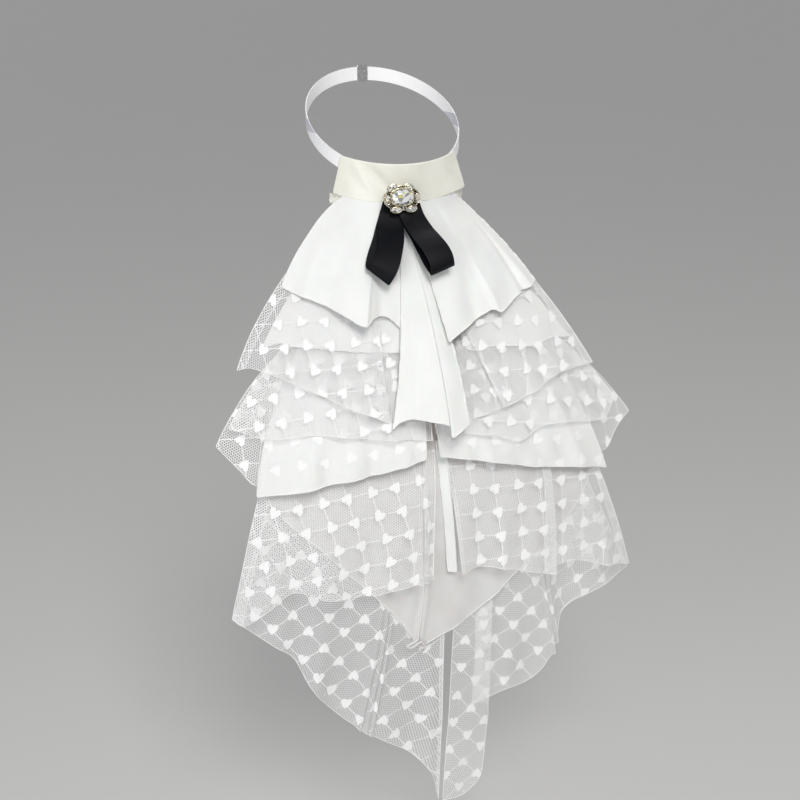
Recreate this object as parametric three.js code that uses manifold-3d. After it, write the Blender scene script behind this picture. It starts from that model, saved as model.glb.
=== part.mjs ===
// A detachable jabot collar: a satin stand band on a ribbon neck loop, a jewelled brooch over
// two ribbon loops, and a ruffled front of chiffon and net tiers sewn to a pointed panel.
// Millimetres, +Z up, the wearer faces -Y. The origin is on the axis of the neck, in the
// middle of the neck loop.

import * as THREE from 'three';
import { mergeVertices } from 'three/addons/utils/BufferGeometryUtils.js';
import Module from 'manifold-3d';

// Driving sizes
const CLOTH = 1.0;
const LAYER_STEP = 1.7;
const GAP = 0.3;
const SEAM_GAP = 1.2;
const WELD = 0.5;
const CUT_OVER = 1;
const DEGREE = Math.PI / 180;

const BAND = {
  topZ: -29,
  height: 27,
  endRise: 5.5,
  topRadius: 60.4,
  bottomRadius: 61.5,
  topHalfAngle: 46,
  bottomHalfAngle: 52,
  thickness: 1.4,
  leftEndFlare: 0.5,
  rightEndFlare: 5,
};

// The raw ends of the band's lining, which show under its two lower corners: angles round
// the neck, and the heights of the top, the inner and the outer lower corner.
const SEAM_TABS = [
  { word: 'left', side: -1, radius: 60.4, from: 46, to: 57, top: -51.8, inner: -58, outer: -58.5 },
  { word: 'right', side: 1, radius: 62.7, from: 47, to: 59, top: -51.2, inner: -58, outer: -61 },
];

const STRAP = {
  radius: 58.5,
  width: 10.5,
  thickness: 1.0,
  slope: 0.55,
  dropAtAxis: 6.2,
  tuckAngle: 42,
};

const CLASP = { width: 8, height: 13, thickness: 2.4, corner: 1.5 };

// The front that the layers hang on. At each height: how far forward it is on the middle
// line, and the radius that it turns back with to both sides.
const CHEST = [
  { z: 40, forward: 61.5, round: 50 },
  { z: -56, forward: 61.5, round: 50 },
  { z: -80, forward: 67, round: 85 },
  { z: -110, forward: 79, round: 150 },
  { z: -150, forward: 98, round: 260 },
  { z: -200, forward: 120, round: 420 },
  { z: -250, forward: 136, round: 520 },
  { z: -300, forward: 144, round: 600 },
  { z: -360, forward: 147, round: 650 },
  { z: -560, forward: 147, round: 700 },
];

// The base panel, a row for each height: its left and right edge.
const PANEL = [
  { z: -57.2, left: -38, right: 38 },
  { z: -70, left: -40, right: 40 },
  { z: -85, left: -52, right: 52 },
  { z: -115, left: -80, right: 84 },
  { z: -150, left: -98, right: 102 },
  { z: -190, left: -113, right: 118 },
  { z: -225, left: -125, right: 129 },
  { z: -247, left: -127, right: 131 },
  { z: -270, left: -111, right: 126 },
  { z: -293, left: -87, right: 108 },
  { z: -312, left: -69, right: 87 },
  { z: -330, left: -51, right: 61 },
  { z: -347, left: -36, right: 42 },
  { z: -362, left: -25, right: 19 },
  { z: -371, left: -19.5, right: 1 },
  { z: -378, left: -16, right: -12 },
];

// The panel follows the band's curved seam over this share of its height.
const PANEL_SEAM_SHARE = 0.08;

// The tiers. Each has the sewn edge it hangs from and a hem row for each fold, from the
// wearer's right to left: sideways place, height, and how far it stands off the chest front.
// bow pushes the left and right side edges sideways halfway down.
const TIERS = {
  tulle_tier_4_left: {
    cloth: 'net', columns: 16, rows: 8, bow: [0, 1],
    top: [{ x: -118, z: -246, out: -LAYER_STEP }, { x: 6, z: -246, out: -LAYER_STEP }],
    hem: [
      { x: -151, z: -349, out: -9 },
      { x: -130, z: -363, out: -4 },
      { x: -110, z: -379, out: -7 },
      { x: -98, z: -403, out: -3 },
      { x: -78, z: -430, out: -6 },
      { x: -45, z: -456, out: -3 },
      { x: -20, z: -474, out: -6 },
      { x: -3, z: -495, out: -4 },
      { x: 3, z: -521, out: -4 },
    ],
  },
  tulle_tier_4_right: {
    cloth: 'net', columns: 20, rows: 8, bow: [5, 0],
    top: [{ x: 18, z: -246, out: -LAYER_STEP }, { x: 118, z: -246, out: -LAYER_STEP }],
    hem: [
      { x: 6, z: -521, out: -3 },
      { x: 22, z: -521, out: -3 },
      { x: 38, z: -507, out: -3 },
      { x: 41, z: -492, out: -4 },
      { x: 43, z: -440, out: -9 },
      { x: 57, z: -432, out: -9 },
      { x: 81, z: -428, out: -6 },
      { x: 95, z: -412, out: -3 },
      { x: 103, z: -394, out: -5 },
      { x: 111, z: -374, out: -9 },
      { x: 150, z: -357, out: -6 },
      { x: 171, z: -352, out: -9 },
    ],
  },
  tulle_tier_3_left: {
    cloth: 'net', columns: 16, rows: 6, bow: [-2, 0],
    top: [{ x: -121, z: -228, out: LAYER_STEP }, { x: 1, z: -226, out: LAYER_STEP }],
    hem: [
      { x: -153, z: -343, out: 2 },
      { x: -146, z: -346, out: 8 },
      { x: -130, z: -332, out: 13 },
      { x: -110, z: -321, out: 8 },
      { x: -87, z: -325, out: 13 },
      { x: -56, z: -327, out: 7 },
      { x: -30, z: -323, out: 12 },
      { x: -7, z: -319, out: 8 },
    ],
  },
  tulle_tier_3_right: {
    cloth: 'net', columns: 16, rows: 6, bow: [0, 2],
    top: [{ x: 11, z: -226, out: LAYER_STEP }, { x: 125, z: -228, out: LAYER_STEP }],
    hem: [
      { x: 15, z: -317, out: 14 },
      { x: 31, z: -315, out: 8 },
      { x: 64, z: -322, out: 13 },
      { x: 86, z: -328, out: 7 },
      { x: 117, z: -330, out: 13 },
      { x: 139, z: -338, out: 8 },
      { x: 166, z: -348, out: 3 },
    ],
  },
  tulle_under_left: {
    cloth: 'net', columns: 12, rows: 5, bow: [-7, 0],
    top: [{ x: -90, z: -146, out: LAYER_STEP }, { x: -5, z: -146, out: LAYER_STEP }],
    hem: [
      { x: -155, z: -217, out: 4.5 },
      { x: -141, z: -232, out: 4.5 },
      { x: -130, z: -243, out: 4.5 },
      { x: -99, z: -234, out: 4.5 },
      { x: -50, z: -224, out: 4.5 },
      { x: -12, z: -218, out: 4.5 },
    ],
  },
  tulle_under_right: {
    cloth: 'net', columns: 12, rows: 5, bow: [0, 7],
    top: [{ x: 5, z: -146, out: LAYER_STEP }, { x: 94, z: -146, out: LAYER_STEP }],
    hem: [
      { x: 13, z: -216, out: 4.5 },
      { x: 50, z: -224, out: 4.5 },
      { x: 99, z: -236, out: 4.5 },
      { x: 142, z: -246, out: 4.5 },
      { x: 159, z: -231, out: 4.5 },
      { x: 171, z: -223, out: 4.5 },
    ],
  },
  chiffon_tier_left: {
    cloth: 'chiffon', columns: 14, rows: 6, bow: [-8, 0],
    top: [{ x: -84, z: -146, out: 2 * LAYER_STEP }, { x: -2, z: -146, out: 2 * LAYER_STEP }],
    hem: [
      { x: -131, z: -249, out: 9 },
      { x: -110, z: -247, out: 10 },
      { x: -90, z: -244, out: 9.5 },
      { x: -51, z: -238, out: 10.5 },
      { x: -8, z: -230, out: 9 },
    ],
  },
  chiffon_tier_right: {
    cloth: 'chiffon', columns: 14, rows: 6, bow: [0, 6],
    top: [{ x: 1, z: -146, out: 2 * LAYER_STEP }, { x: 88, z: -146, out: 2 * LAYER_STEP }],
    hem: [
      { x: 3, z: -229, out: 9.5 },
      { x: 40, z: -236, out: 10.5 },
      { x: 85, z: -247, out: 9.5 },
      { x: 120, z: -252, out: 10 },
      { x: 141, z: -257, out: 9 },
    ],
  },
  tulle_tier_2_left: {
    cloth: 'net', columns: 14, rows: 5, bow: [-4, 0],
    top: [{ x: -92, z: -146, out: 3 * LAYER_STEP }, { x: -2, z: -146, out: 3 * LAYER_STEP }],
    hem: [
      { x: -146, z: -203, out: 11 },
      { x: -120, z: -209, out: 13 },
      { x: -82, z: -208, out: 12 },
      { x: -40, z: -212, out: 14 },
      { x: -3, z: -216, out: 12 },
    ],
  },
  tulle_tier_2_right: {
    cloth: 'net', columns: 14, rows: 5, bow: [0, 4],
    top: [{ x: 1, z: -146, out: 3 * LAYER_STEP }, { x: 96, z: -146, out: 3 * LAYER_STEP }],
    hem: [
      { x: 1, z: -212, out: 12 },
      { x: 42, z: -217, out: 14 },
      { x: 68, z: -225, out: 12 },
      { x: 104, z: -221, out: 14 },
      { x: 141, z: -221, out: 12 },
      { x: 156, z: -208, out: 10 },
    ],
  },
  lining_tier_left: {
    cloth: 'chiffon', columns: 12, rows: 5, bow: [-3, 0],
    top: [{ x: -62, z: -92, out: 2 }, { x: -5, z: -92, out: 1.8 }],
    hem: [
      { x: -116, z: -154, out: 7.5 },
      { x: -104, z: -149, out: 8 },
      { x: -93, z: -151, out: 8 },
      { x: -47, z: -155, out: 8 },
      { x: -12, z: -157, out: 8 },
    ],
  },
  lining_tier_right: {
    cloth: 'chiffon', columns: 12, rows: 5, bow: [0, 3],
    top: [{ x: 10, z: -92, out: 1.8 }, { x: 64, z: -92, out: 2.1 }],
    hem: [
      { x: 34, z: -160, out: 8 },
      { x: 56, z: -159, out: 8.6 },
      { x: 89, z: -163, out: 9 },
      { x: 106, z: -161, out: 9 },
      { x: 124, z: -162, out: 8.4 },
    ],
  },
  tulle_tier_1_left: {
    cloth: 'net', columns: 14, rows: 6, bow: [-4, 0],
    top: [{ x: -84, z: -100, out: 5 }, { x: -5, z: -104, out: 5 }],
    hem: [
      { x: -135, z: -166, out: 12 },
      { x: -125, z: -164, out: 13 },
      { x: -103, z: -171, out: 16 },
      { x: -83, z: -180, out: 14 },
      { x: -58, z: -191, out: 17 },
      { x: -29, z: -201, out: 14 },
      { x: -13, z: -204, out: 14 },
    ],
  },
  tulle_tier_1_right: {
    cloth: 'net', columns: 16, rows: 6, bow: [0, 4],
    top: [{ x: 5, z: -104, out: 5 }, { x: 88, z: -102, out: 5 }],
    hem: [
      { x: 17, z: -206, out: 14 },
      { x: 32, z: -205, out: 14 },
      { x: 52, z: -199, out: 15 },
      { x: 59, z: -197, out: 19 },
      { x: 80, z: -191, out: 16 },
      { x: 106, z: -181, out: 18 },
      { x: 139, z: -181, out: 13 },
    ],
  },
  top_tier_left: {
    cloth: 'chiffon', columns: 16, rows: 7, bow: [-4, 0],
    top: [{ x: -43, out: 2.2 }, { x: -28, out: 2 }, { x: -4, out: LAYER_STEP }],
    hem: [
      { x: -95, z: -114, out: 9 },
      { x: -84, z: -118, out: 11 },
      { x: -72, z: -122, out: 14 },
      { x: -59, z: -128, out: 18 },
      { x: -45, z: -135, out: 21 },
      { x: -37, z: -132, out: 16 },
      { x: -30, z: -131, out: 10 },
      { x: -22, z: -134, out: 9.5 },
      { x: -15, z: -142, out: 10.5 },
    ],
  },
  top_tier_right: {
    cloth: 'chiffon', columns: 16, rows: 7, bow: [0, 5],
    top: [{ x: 3, out: LAYER_STEP }, { x: 28, out: 2 }, { x: 41.5, out: 2.2 }],
    hem: [
      { x: 15, z: -148, out: 26 },
      { x: 24, z: -144, out: 23 },
      { x: 38, z: -139, out: 18 },
      { x: 55, z: -133, out: 14 },
      { x: 64, z: -135, out: 17 },
      { x: 82, z: -128, out: 12 },
      { x: 104, z: -122, out: 9 },
    ],
  },
  centre_cascade: {
    cloth: 'chiffon', columns: 18, rows: 8, bow: [5, 1],
    top: [{ x: -7, z: -72, out: 4.4 }, { x: 0, z: -72, out: 5 }],
    hem: [
      { x: -33, z: -204, out: 19 },
      { x: -23, z: -198, out: 22 },
      { x: -12, z: -198, out: 27 },
      { x: -2, z: -201, out: 31 },
      { x: 6, z: -208, out: 33 },
      { x: 18, z: -205, out: 30 },
      { x: 22, z: -204, out: 25 },
    ],
  },
  centre_pleat: {
    cloth: 'chiffon', columns: 4, rows: 6, bow: [0, 0],
    top: [{ x: 2.5, z: -220, out: 1.6 }, { x: 10, z: -220, out: 1.6 }],
    hem: [{ x: 7, z: -318, out: 1.6 }, { x: 13.5, z: -319, out: 2.4 }],
  },
};

// The ribbon loops, a row for each place along the ribbon, down the back strand and up the
// front one: middle of the ribbon, stand-off, turn of its width from level, and its width.
const RIBBON_THICKNESS = 0.9;
const RIBBONS = {
  ribbon_loop_left: [
    { x: -10, z: -55, out: 2.9, turn: -3, width: 15 },
    { x: -12, z: -63, out: 4.6, turn: -4, width: 17 },
    { x: -15.5, z: -72, out: 7.6, turn: -5, width: 18.5 },
    { x: -20, z: -82, out: 10.5, turn: -9, width: 18.5 },
    { x: -25.5, z: -92, out: 13.5, turn: -22, width: 18 },
    { x: -30, z: -101, out: 16.5, turn: -38, width: 18 },
    { x: -30.5, z: -103.5, out: 19.5, turn: -39, width: 18 },
    { x: -28.5, z: -100.5, out: 22.5, turn: -35, width: 18 },
    { x: -24, z: -94.5, out: 22.5, turn: -19, width: 18 },
    { x: -19.5, z: -86, out: 19.5, turn: -7, width: 18 },
    { x: -16.5, z: -79, out: 15, turn: -3, width: 18.5 },
    { x: -15, z: -72, out: 9.6, turn: -1, width: 19.5 },
    { x: -12.5, z: -63, out: 5.9, turn: -3, width: 17 },
    { x: -10, z: -55, out: 4.2, turn: -3, width: 15 },
  ],
  ribbon_loop_right: [
    { x: 1, z: -55, out: 5.5, turn: -3, width: 16 },
    { x: 2, z: -63, out: 7.2, turn: -1, width: 18.5 },
    { x: 4, z: -71, out: 11, turn: 2, width: 19.5 },
    { x: 7.5, z: -78.5, out: 14.2, turn: 8, width: 19.5 },
    { x: 10.5, z: -86, out: 17, turn: 12, width: 19.5 },
    { x: 14, z: -95, out: 20.5, turn: 14, width: 19.5 },
    { x: 17, z: -100.5, out: 24.5, turn: 15, width: 19.5 },
    { x: 16.5, z: -97.5, out: 28, turn: 15, width: 19.5 },
    { x: 15.5, z: -91.5, out: 29, turn: 13, width: 19.5 },
    { x: 13, z: -85, out: 27, turn: 11, width: 19.5 },
    { x: 9.5, z: -79.5, out: 22.5, turn: 9, width: 19.5 },
    { x: 5.5, z: -73, out: 15.5, turn: 4, width: 19.5 },
    { x: 1.5, z: -63, out: 8.5, turn: -1, width: 18.5 },
    { x: 0.5, z: -55, out: 6.8, turn: -3, width: 16 },
  ],
};

// The brooch, in its own frame: x to the wearer's left, y up, z outwards.
const BROOCH = {
  x: -6.3,
  z: -50.9,
  backOut: 10,
  plate: 1.6,
  stoneDepth: 4.6,
  sideStoneDepth: 2.8,
  bezelWall: 0.9,
  bezelHeight: 2.4,
  cupHeight: 1.4,
  cupWall: 0.7,
  postRadius: 3,
  postUp: 4.5,
};

const GROUND = { x: 0, y: 0, width: 27, height: 19 };
const CENTRE = { x: 0.2, y: 0.8, width: 16.4, height: 12.2 };
const LOBES = [
  { x: -7.2, y: 8.2, width: 6.6, height: 3.6 },
  { x: 5.2, y: 8.6, width: 6.4, height: 3.2 },
  { x: -11.2, y: -0.3, width: 4.2, height: 6.2 },
  { x: 11.4, y: -0.4, width: 4.2, height: 6.2 },
  { x: -4.3, y: -8.3, width: 7.6, height: 4.2 },
  { x: 7.5, y: -8.2, width: 7.2, height: 4.2 },
];

const MATERIALS = {
  chiffon: { color: 0xf5f4f0, roughness: 0.85, metalness: 0 },
  net: { color: 0xe9e8e6, roughness: 0.9, metalness: 0 },
  satin: { color: 0xf1f0e4, roughness: 0.45, metalness: 0 },
  strap: { color: 0xc8c8d2, roughness: 0.5, metalness: 0 },
  ribbon: { color: 0x1b1c22, roughness: 0.5, metalness: 0 },
  metal: { color: 0xb9ab82, roughness: 0.35, metalness: 0.9 },
  stone: { color: 0xe9eef0, roughness: 0.05, metalness: 0 },
  clasp: { color: 0xd8d8dc, roughness: 0.3, metalness: 0.9 },
};

const mix = (a, b, t) => a + (b - a) * t;

// How finely the surfaces are faceted: along their width and down their height.
const FACETS = {
  band: { columns: 22, rows: 3 },
  strap: { columns: 24, rows: 1 },
  tab: { columns: 3, rows: 2 },
  panel: { columns: 12, rows: 14 },
  ribbon: { columns: 30, rows: 2 },
  centreStone: 12,
  sideStone: 8,
  ground: 24,
  setting: 16,
  cup: 12,
  post: 10,
};

// Smooth curve through the rows of a table: value of one column where the key column is t.
function smoothColumn(keys, values, t) {
  const last = keys.length - 1;
  let i = 0;
  while (i < last - 1 && t > keys[i + 1]) i += 1;
  const slope = (k) => {
    const lo = Math.max(k - 1, 0);
    const hi = Math.min(k + 1, last);
    return (values[hi] - values[lo]) / (keys[hi] - keys[lo]);
  };
  const span = keys[i + 1] - keys[i];
  const s = Math.min(Math.max((t - keys[i]) / span, 0), 1);
  const s2 = s * s;
  const s3 = s2 * s;
  return (2 * s3 - 3 * s2 + 1) * values[i] + (s3 - 2 * s2 + s) * span * slope(i)
    + (3 * s2 - 2 * s3) * values[i + 1] + (s3 - s2) * span * slope(i + 1);
}

// A function of 0 to 1 that runs along the rows of a table by the distance between them.
function alongRows(rows) {
  const keys = [0];
  for (let i = 1; i < rows.length; i += 1) {
    keys.push(keys[i - 1] + Math.hypot(
      rows[i].x - rows[i - 1].x, rows[i].z - rows[i - 1].z, rows[i].out - rows[i - 1].out));
  }
  const total = keys[keys.length - 1];
  return (u) => {
    const place = {};
    for (const column of Object.keys(rows[0])) {
      place[column] = smoothColumn(keys, rows.map((row) => row[column]), u * total);
    }
    return place;
  };
}

const CHEST_DOWN = CHEST.map((row) => -row.z);
const CHEST_FORWARD = CHEST.map((row) => row.forward);
const CHEST_ROUND = CHEST.map((row) => row.round);

// How far in front of the neck axis the chest front is.
function chestFront(x, z) {
  const forward = smoothColumn(CHEST_DOWN, CHEST_FORWARD, -z);
  const round = smoothColumn(CHEST_DOWN, CHEST_ROUND, -z);
  return forward - (x * x) / (2 * round);
}

// Height of the seam under the neck band at a sideways place.
function seamHeight(x) {
  const angle = Math.asin(THREE.MathUtils.clamp(x / BAND.bottomRadius, -0.8, 0.8)) / DEGREE;
  const middle = BAND.topZ - BAND.height - SEAM_GAP;
  return middle + BAND.endRise * (angle / BAND.bottomHalfAngle) ** 2;
}

// A closed wall of even thickness on a surface, which is a function of u and v from 0 to 1.
function clothWall(surface, { columns, rows }, thickness) {
  const step = 1e-3;
  const positions = [];
  const place = (u, v, side) => {
    const point = surface(u, v);
    const across = surface(Math.min(u + step, 1), v).sub(surface(Math.max(u - step, 0), v));
    const down = surface(u, Math.min(v + step, 1)).sub(surface(u, Math.max(v - step, 0)));
    const normal = across.cross(down).normalize();
    return point.addScaledVector(normal, (side * thickness) / 2);
  };
  for (const side of [1, -1]) {
    for (let j = 0; j <= rows; j += 1) {
      for (let i = 0; i <= columns; i += 1) {
        positions.push(...place(i / columns, j / rows, side).toArray());
      }
    }
  }
  const skin = (columns + 1) * (rows + 1);
  const at = (i, j, back) => j * (columns + 1) + i + back * skin;
  const index = [];
  const quad = (a, b, c, d) => index.push(a, b, c, a, c, d);
  for (let j = 0; j < rows; j += 1) {
    for (let i = 0; i < columns; i += 1) {
      quad(at(i, j, 0), at(i + 1, j, 0), at(i + 1, j + 1, 0), at(i, j + 1, 0));
      quad(at(i, j, 1), at(i, j + 1, 1), at(i + 1, j + 1, 1), at(i + 1, j, 1));
    }
  }
  for (let i = 0; i < columns; i += 1) {
    quad(at(i, 0, 0), at(i, 0, 1), at(i + 1, 0, 1), at(i + 1, 0, 0));
    quad(at(i + 1, rows, 0), at(i + 1, rows, 1), at(i, rows, 1), at(i, rows, 0));
  }
  for (let j = 0; j < rows; j += 1) {
    quad(at(0, j + 1, 0), at(0, j + 1, 1), at(0, j, 1), at(0, j, 0));
    quad(at(columns, j, 0), at(columns, j, 1), at(columns, j + 1, 1), at(columns, j + 1, 0));
  }
  const geometry = new THREE.BufferGeometry();
  geometry.setAttribute('position', new THREE.Float32BufferAttribute(positions, 3));
  geometry.setIndex(index);
  geometry.computeVertexNormals();
  return geometry;
}

// A tier between its sewn edge and its hem, standing off the chest front.
function tierSurface(tier) {
  const top = alongRows(tier.top.map((row) => ({ z: seamHeight(row.x), ...row })));
  const hem = alongRows(tier.hem);
  return (u, v) => {
    const from = top(u);
    const to = hem(u);
    const bulge = mix(tier.bow[0], tier.bow[1], u) * 4 * v * (1 - v);
    const x = mix(from.x, to.x, v) + bulge;
    const z = mix(from.z, to.z, v);
    return new THREE.Vector3(x, -chestFront(x, z) - mix(from.out, to.out, v), z);
  };
}

function panelSurface() {
  const keys = PANEL.map((row) => -row.z);
  const lefts = PANEL.map((row) => row.left);
  const rights = PANEL.map((row) => row.right);
  const lowest = keys[keys.length - 1];
  return (u, v) => {
    const down = mix(keys[0], lowest, v);
    const x = mix(smoothColumn(keys, lefts, down), smoothColumn(keys, rights, down), u);
    const rise = (seamHeight(x) - seamHeight(0)) * Math.max(0, 1 - v / PANEL_SEAM_SHARE);
    const z = rise - down;
    return new THREE.Vector3(x, -chestFront(x, z), z);
  };
}

function ribbonSurface(rows) {
  const path = alongRows(rows);
  return (u, v) => {
    const middle = path(u);
    const reach = (v - 0.5) * middle.width;
    const turn = middle.turn * DEGREE;
    const x = middle.x + reach * Math.cos(turn);
    const z = middle.z + reach * Math.sin(turn);
    return new THREE.Vector3(x, -chestFront(x, z) - middle.out, z);
  };
}

function bandSurface() {
  return (u, v) => {
    const side = 2 * u - 1;
    const angle = side * mix(BAND.topHalfAngle, BAND.bottomHalfAngle, v) * DEGREE;
    const flare = side < 0 ? BAND.leftEndFlare : BAND.rightEndFlare;
    const radius = mix(BAND.topRadius, BAND.bottomRadius, v) + flare * v * side ** 4;
    const z = BAND.topZ - BAND.height * v + BAND.endRise * side * side;
    return new THREE.Vector3(radius * Math.sin(angle), -radius * Math.cos(angle), z);
  };
}

// One half of the neck loop, from behind the band's end to the clasp.
function strapSurface(side) {
  const start = STRAP.tuckAngle * DEGREE;
  const end = Math.PI - Math.asin((CLASP.width / 2 + GAP) / STRAP.radius);
  return (u, v) => {
    const angle = side * mix(start, end, u);
    const y = -STRAP.radius * Math.cos(angle);
    const middle = STRAP.slope * y - STRAP.dropAtAxis;
    return new THREE.Vector3(STRAP.radius * Math.sin(angle), y, middle + (0.5 - v) * STRAP.width);
  };
}

function seamTabSurface(tab) {
  return (u, v) => {
    const angle = tab.side * mix(tab.from, tab.to, u) * DEGREE;
    const z = mix(tab.top, mix(tab.inner, tab.outer, u), v);
    return new THREE.Vector3(tab.radius * Math.sin(angle), -tab.radius * Math.cos(angle), z);
  };
}

function roundedPlate(width, height, depth, corner) {
  const w = width / 2 - corner;
  const h = height / 2 - corner;
  const shape = new THREE.Shape();
  shape.absarc(w, h, corner, 0, Math.PI / 2);
  shape.absarc(-w, h, corner, Math.PI / 2, Math.PI);
  shape.absarc(-w, -h, corner, Math.PI, 1.5 * Math.PI);
  shape.absarc(w, -h, corner, 1.5 * Math.PI, 2 * Math.PI);
  return new THREE.ExtrudeGeometry(shape, { depth, bevelEnabled: false, curveSegments: 4 });
}

function ellipseBlock(place, grow, depth, lift, sides) {
  const shape = new THREE.Shape();
  for (let i = 0; i < sides; i += 1) {
    const angle = ((i + 0.5) / sides) * 2 * Math.PI;
    const x = place.x + (place.width / 2 + grow) * Math.cos(angle);
    const y = place.y + (place.height / 2 + grow) * Math.sin(angle);
    if (i === 0) shape.moveTo(x, y);
    else shape.lineTo(x, y);
  }
  shape.closePath();
  return new THREE.ExtrudeGeometry(shape, { depth, bevelEnabled: false }).translate(0, 0, lift);
}

// A cut stone: a flat table, a crown of facets, a girdle and a pointed back.
function cutStone(width, height, depth, sides) {
  const girdle = depth * 0.45;
  const profile = [
    new THREE.Vector2(0, 0),
    new THREE.Vector2(0.25, 0),
    new THREE.Vector2(0.5, girdle),
    new THREE.Vector2(0.5, girdle + depth * 0.1),
    new THREE.Vector2(0.42, girdle + depth * 0.36),
    new THREE.Vector2(0.3, depth),
    new THREE.Vector2(0, depth),
  ];
  const stone = new THREE.LatheGeometry(profile, sides, Math.PI / sides);
  stone.rotateX(Math.PI / 2);
  stone.scale(width, height, 1);
  stone.deleteAttribute('normal');
  stone.deleteAttribute('uv');
  return mergeVertices(stone, 1e-4);
}

const wasm = await Module();
wasm.setup();

function toSolid(geometry) {
  const plain = geometry.clone();
  plain.deleteAttribute('normal');
  plain.deleteAttribute('uv');
  const merged = mergeVertices(plain, 1e-4);
  return new wasm.Manifold(new wasm.Mesh({
    numProp: 3,
    vertProperties: new Float32Array(merged.attributes.position.array),
    triVerts: new Uint32Array(merged.index.array),
  }));
}

function fromSolid(solid) {
  const mesh = solid.getMesh();
  const geometry = new THREE.BufferGeometry();
  geometry.setAttribute('position', new THREE.BufferAttribute(mesh.vertProperties, 3));
  geometry.setIndex(new THREE.BufferAttribute(mesh.triVerts, 1));
  geometry.computeVertexNormals();
  return geometry;
}

// The soldered setting: back plate, bezel, six cups, and the post that pins it to the band.
function broochSetting(postLength) {
  const { plate, bezelWall, bezelHeight, cupHeight, cupWall, postRadius } = BROOCH;
  const length = postLength + WELD;
  const post = new THREE.CylinderGeometry(postRadius, postRadius, length, FACETS.post);
  post.rotateX(Math.PI / 2);
  post.translate(0, BROOCH.postUp, WELD - length / 2);
  const ground = ellipseBlock(GROUND, 0, plate, 0, FACETS.ground);
  const bezel = ellipseBlock(CENTRE, bezelWall, plate + bezelHeight, 0, FACETS.setting);
  let body = toSolid(ground).add(toSolid(bezel)).add(toSolid(post));
  for (const lobe of LOBES) {
    body = body.add(toSolid(ellipseBlock(lobe, cupWall, plate + cupHeight, 0, FACETS.cup)));
  }
  const seat = ellipseBlock(CENTRE, GAP, bezelHeight + CUT_OVER, plate, FACETS.setting);
  body = body.subtract(toSolid(seat));
  for (const lobe of LOBES) {
    const cup = ellipseBlock(lobe, GAP, cupHeight + CUT_OVER, plate, FACETS.cup);
    body = body.subtract(toSolid(cup));
  }
  return fromSolid(body);
}

function material(name) {
  return new THREE.MeshStandardMaterial({ name, ...MATERIALS[name] });
}

function piece(name, geometry, materialName) {
  const mesh = new THREE.Mesh(geometry, material(materialName));
  mesh.name = name;
  return mesh;
}

function neckPieces(collar) {
  const band = clothWall(bandSurface(), FACETS.band, BAND.thickness);
  collar.add(piece('neck_band', band, 'satin'));
  for (const [word, side] of [['left', -1], ['right', 1]]) {
    const strap = clothWall(strapSurface(side), FACETS.strap, STRAP.thickness);
    collar.add(piece(`neck_strap_${word}`, strap, 'strap'));
  }
  for (const tab of SEAM_TABS) {
    const end = clothWall(seamTabSurface(tab), FACETS.tab, CLOTH);
    collar.add(piece(`seam_tab_${tab.word}`, end, 'satin'));
  }
  const clasp = roundedPlate(CLASP.width, CLASP.height, CLASP.thickness, CLASP.corner);
  const mesh = piece('strap_clasp', clasp, 'clasp');
  mesh.rotation.x = Math.PI / 2;
  const middle = STRAP.slope * STRAP.radius - STRAP.dropAtAxis;
  mesh.position.set(0, STRAP.radius + CLASP.thickness / 2, middle);
  collar.add(mesh);
}

function tierPieces(collar) {
  collar.add(piece('base_panel', clothWall(panelSurface(), FACETS.panel, CLOTH), 'chiffon'));
  for (const [name, tier] of Object.entries(TIERS)) {
    collar.add(piece(name, clothWall(tierSurface(tier), tier, CLOTH), tier.cloth));
  }
}

function ribbonPieces(collar) {
  for (const [name, rows] of Object.entries(RIBBONS)) {
    const loop = clothWall(ribbonSurface(rows), FACETS.ribbon, RIBBON_THICKNESS);
    collar.add(piece(name, loop, 'ribbon'));
  }
}

function broochPieces(collar) {
  const brooch = new THREE.Group();
  brooch.rotation.x = Math.PI / 2;
  brooch.position.set(BROOCH.x, -chestFront(BROOCH.x, BROOCH.z) - BROOCH.backOut, BROOCH.z);
  const bandFace = BAND.thickness / 2;
  brooch.add(piece('brooch_setting', broochSetting(BROOCH.backOut - bandFace - GAP), 'metal'));
  const seat = BROOCH.plate + GAP;
  const { stoneDepth, sideStoneDepth } = BROOCH;
  const cut = cutStone(CENTRE.width, CENTRE.height, stoneDepth, FACETS.centreStone);
  const stone = piece('centre_stone', cut, 'stone');
  stone.position.set(CENTRE.x, CENTRE.y, seat);
  brooch.add(stone);
  LOBES.forEach((lobe, i) => {
    const facets = cutStone(lobe.width, lobe.height, sideStoneDepth, FACETS.sideStone);
    const side = piece(`side_stone_${i + 1}`, facets, 'stone');
    side.position.set(lobe.x, lobe.y, seat);
    brooch.add(side);
  });
  collar.add(brooch);
}

const collar = new THREE.Group();
neckPieces(collar);
tierPieces(collar);
ribbonPieces(collar);
broochPieces(collar);

export default collar;
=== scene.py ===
"""Looks of a detachable jabot collar: satin band and ribbon loop, brooch, black ribbon loops,
chiffon and heart-patterned net tiers. Tables are in millimetres, +Z up, the wearer faces -Y."""

import math

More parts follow.
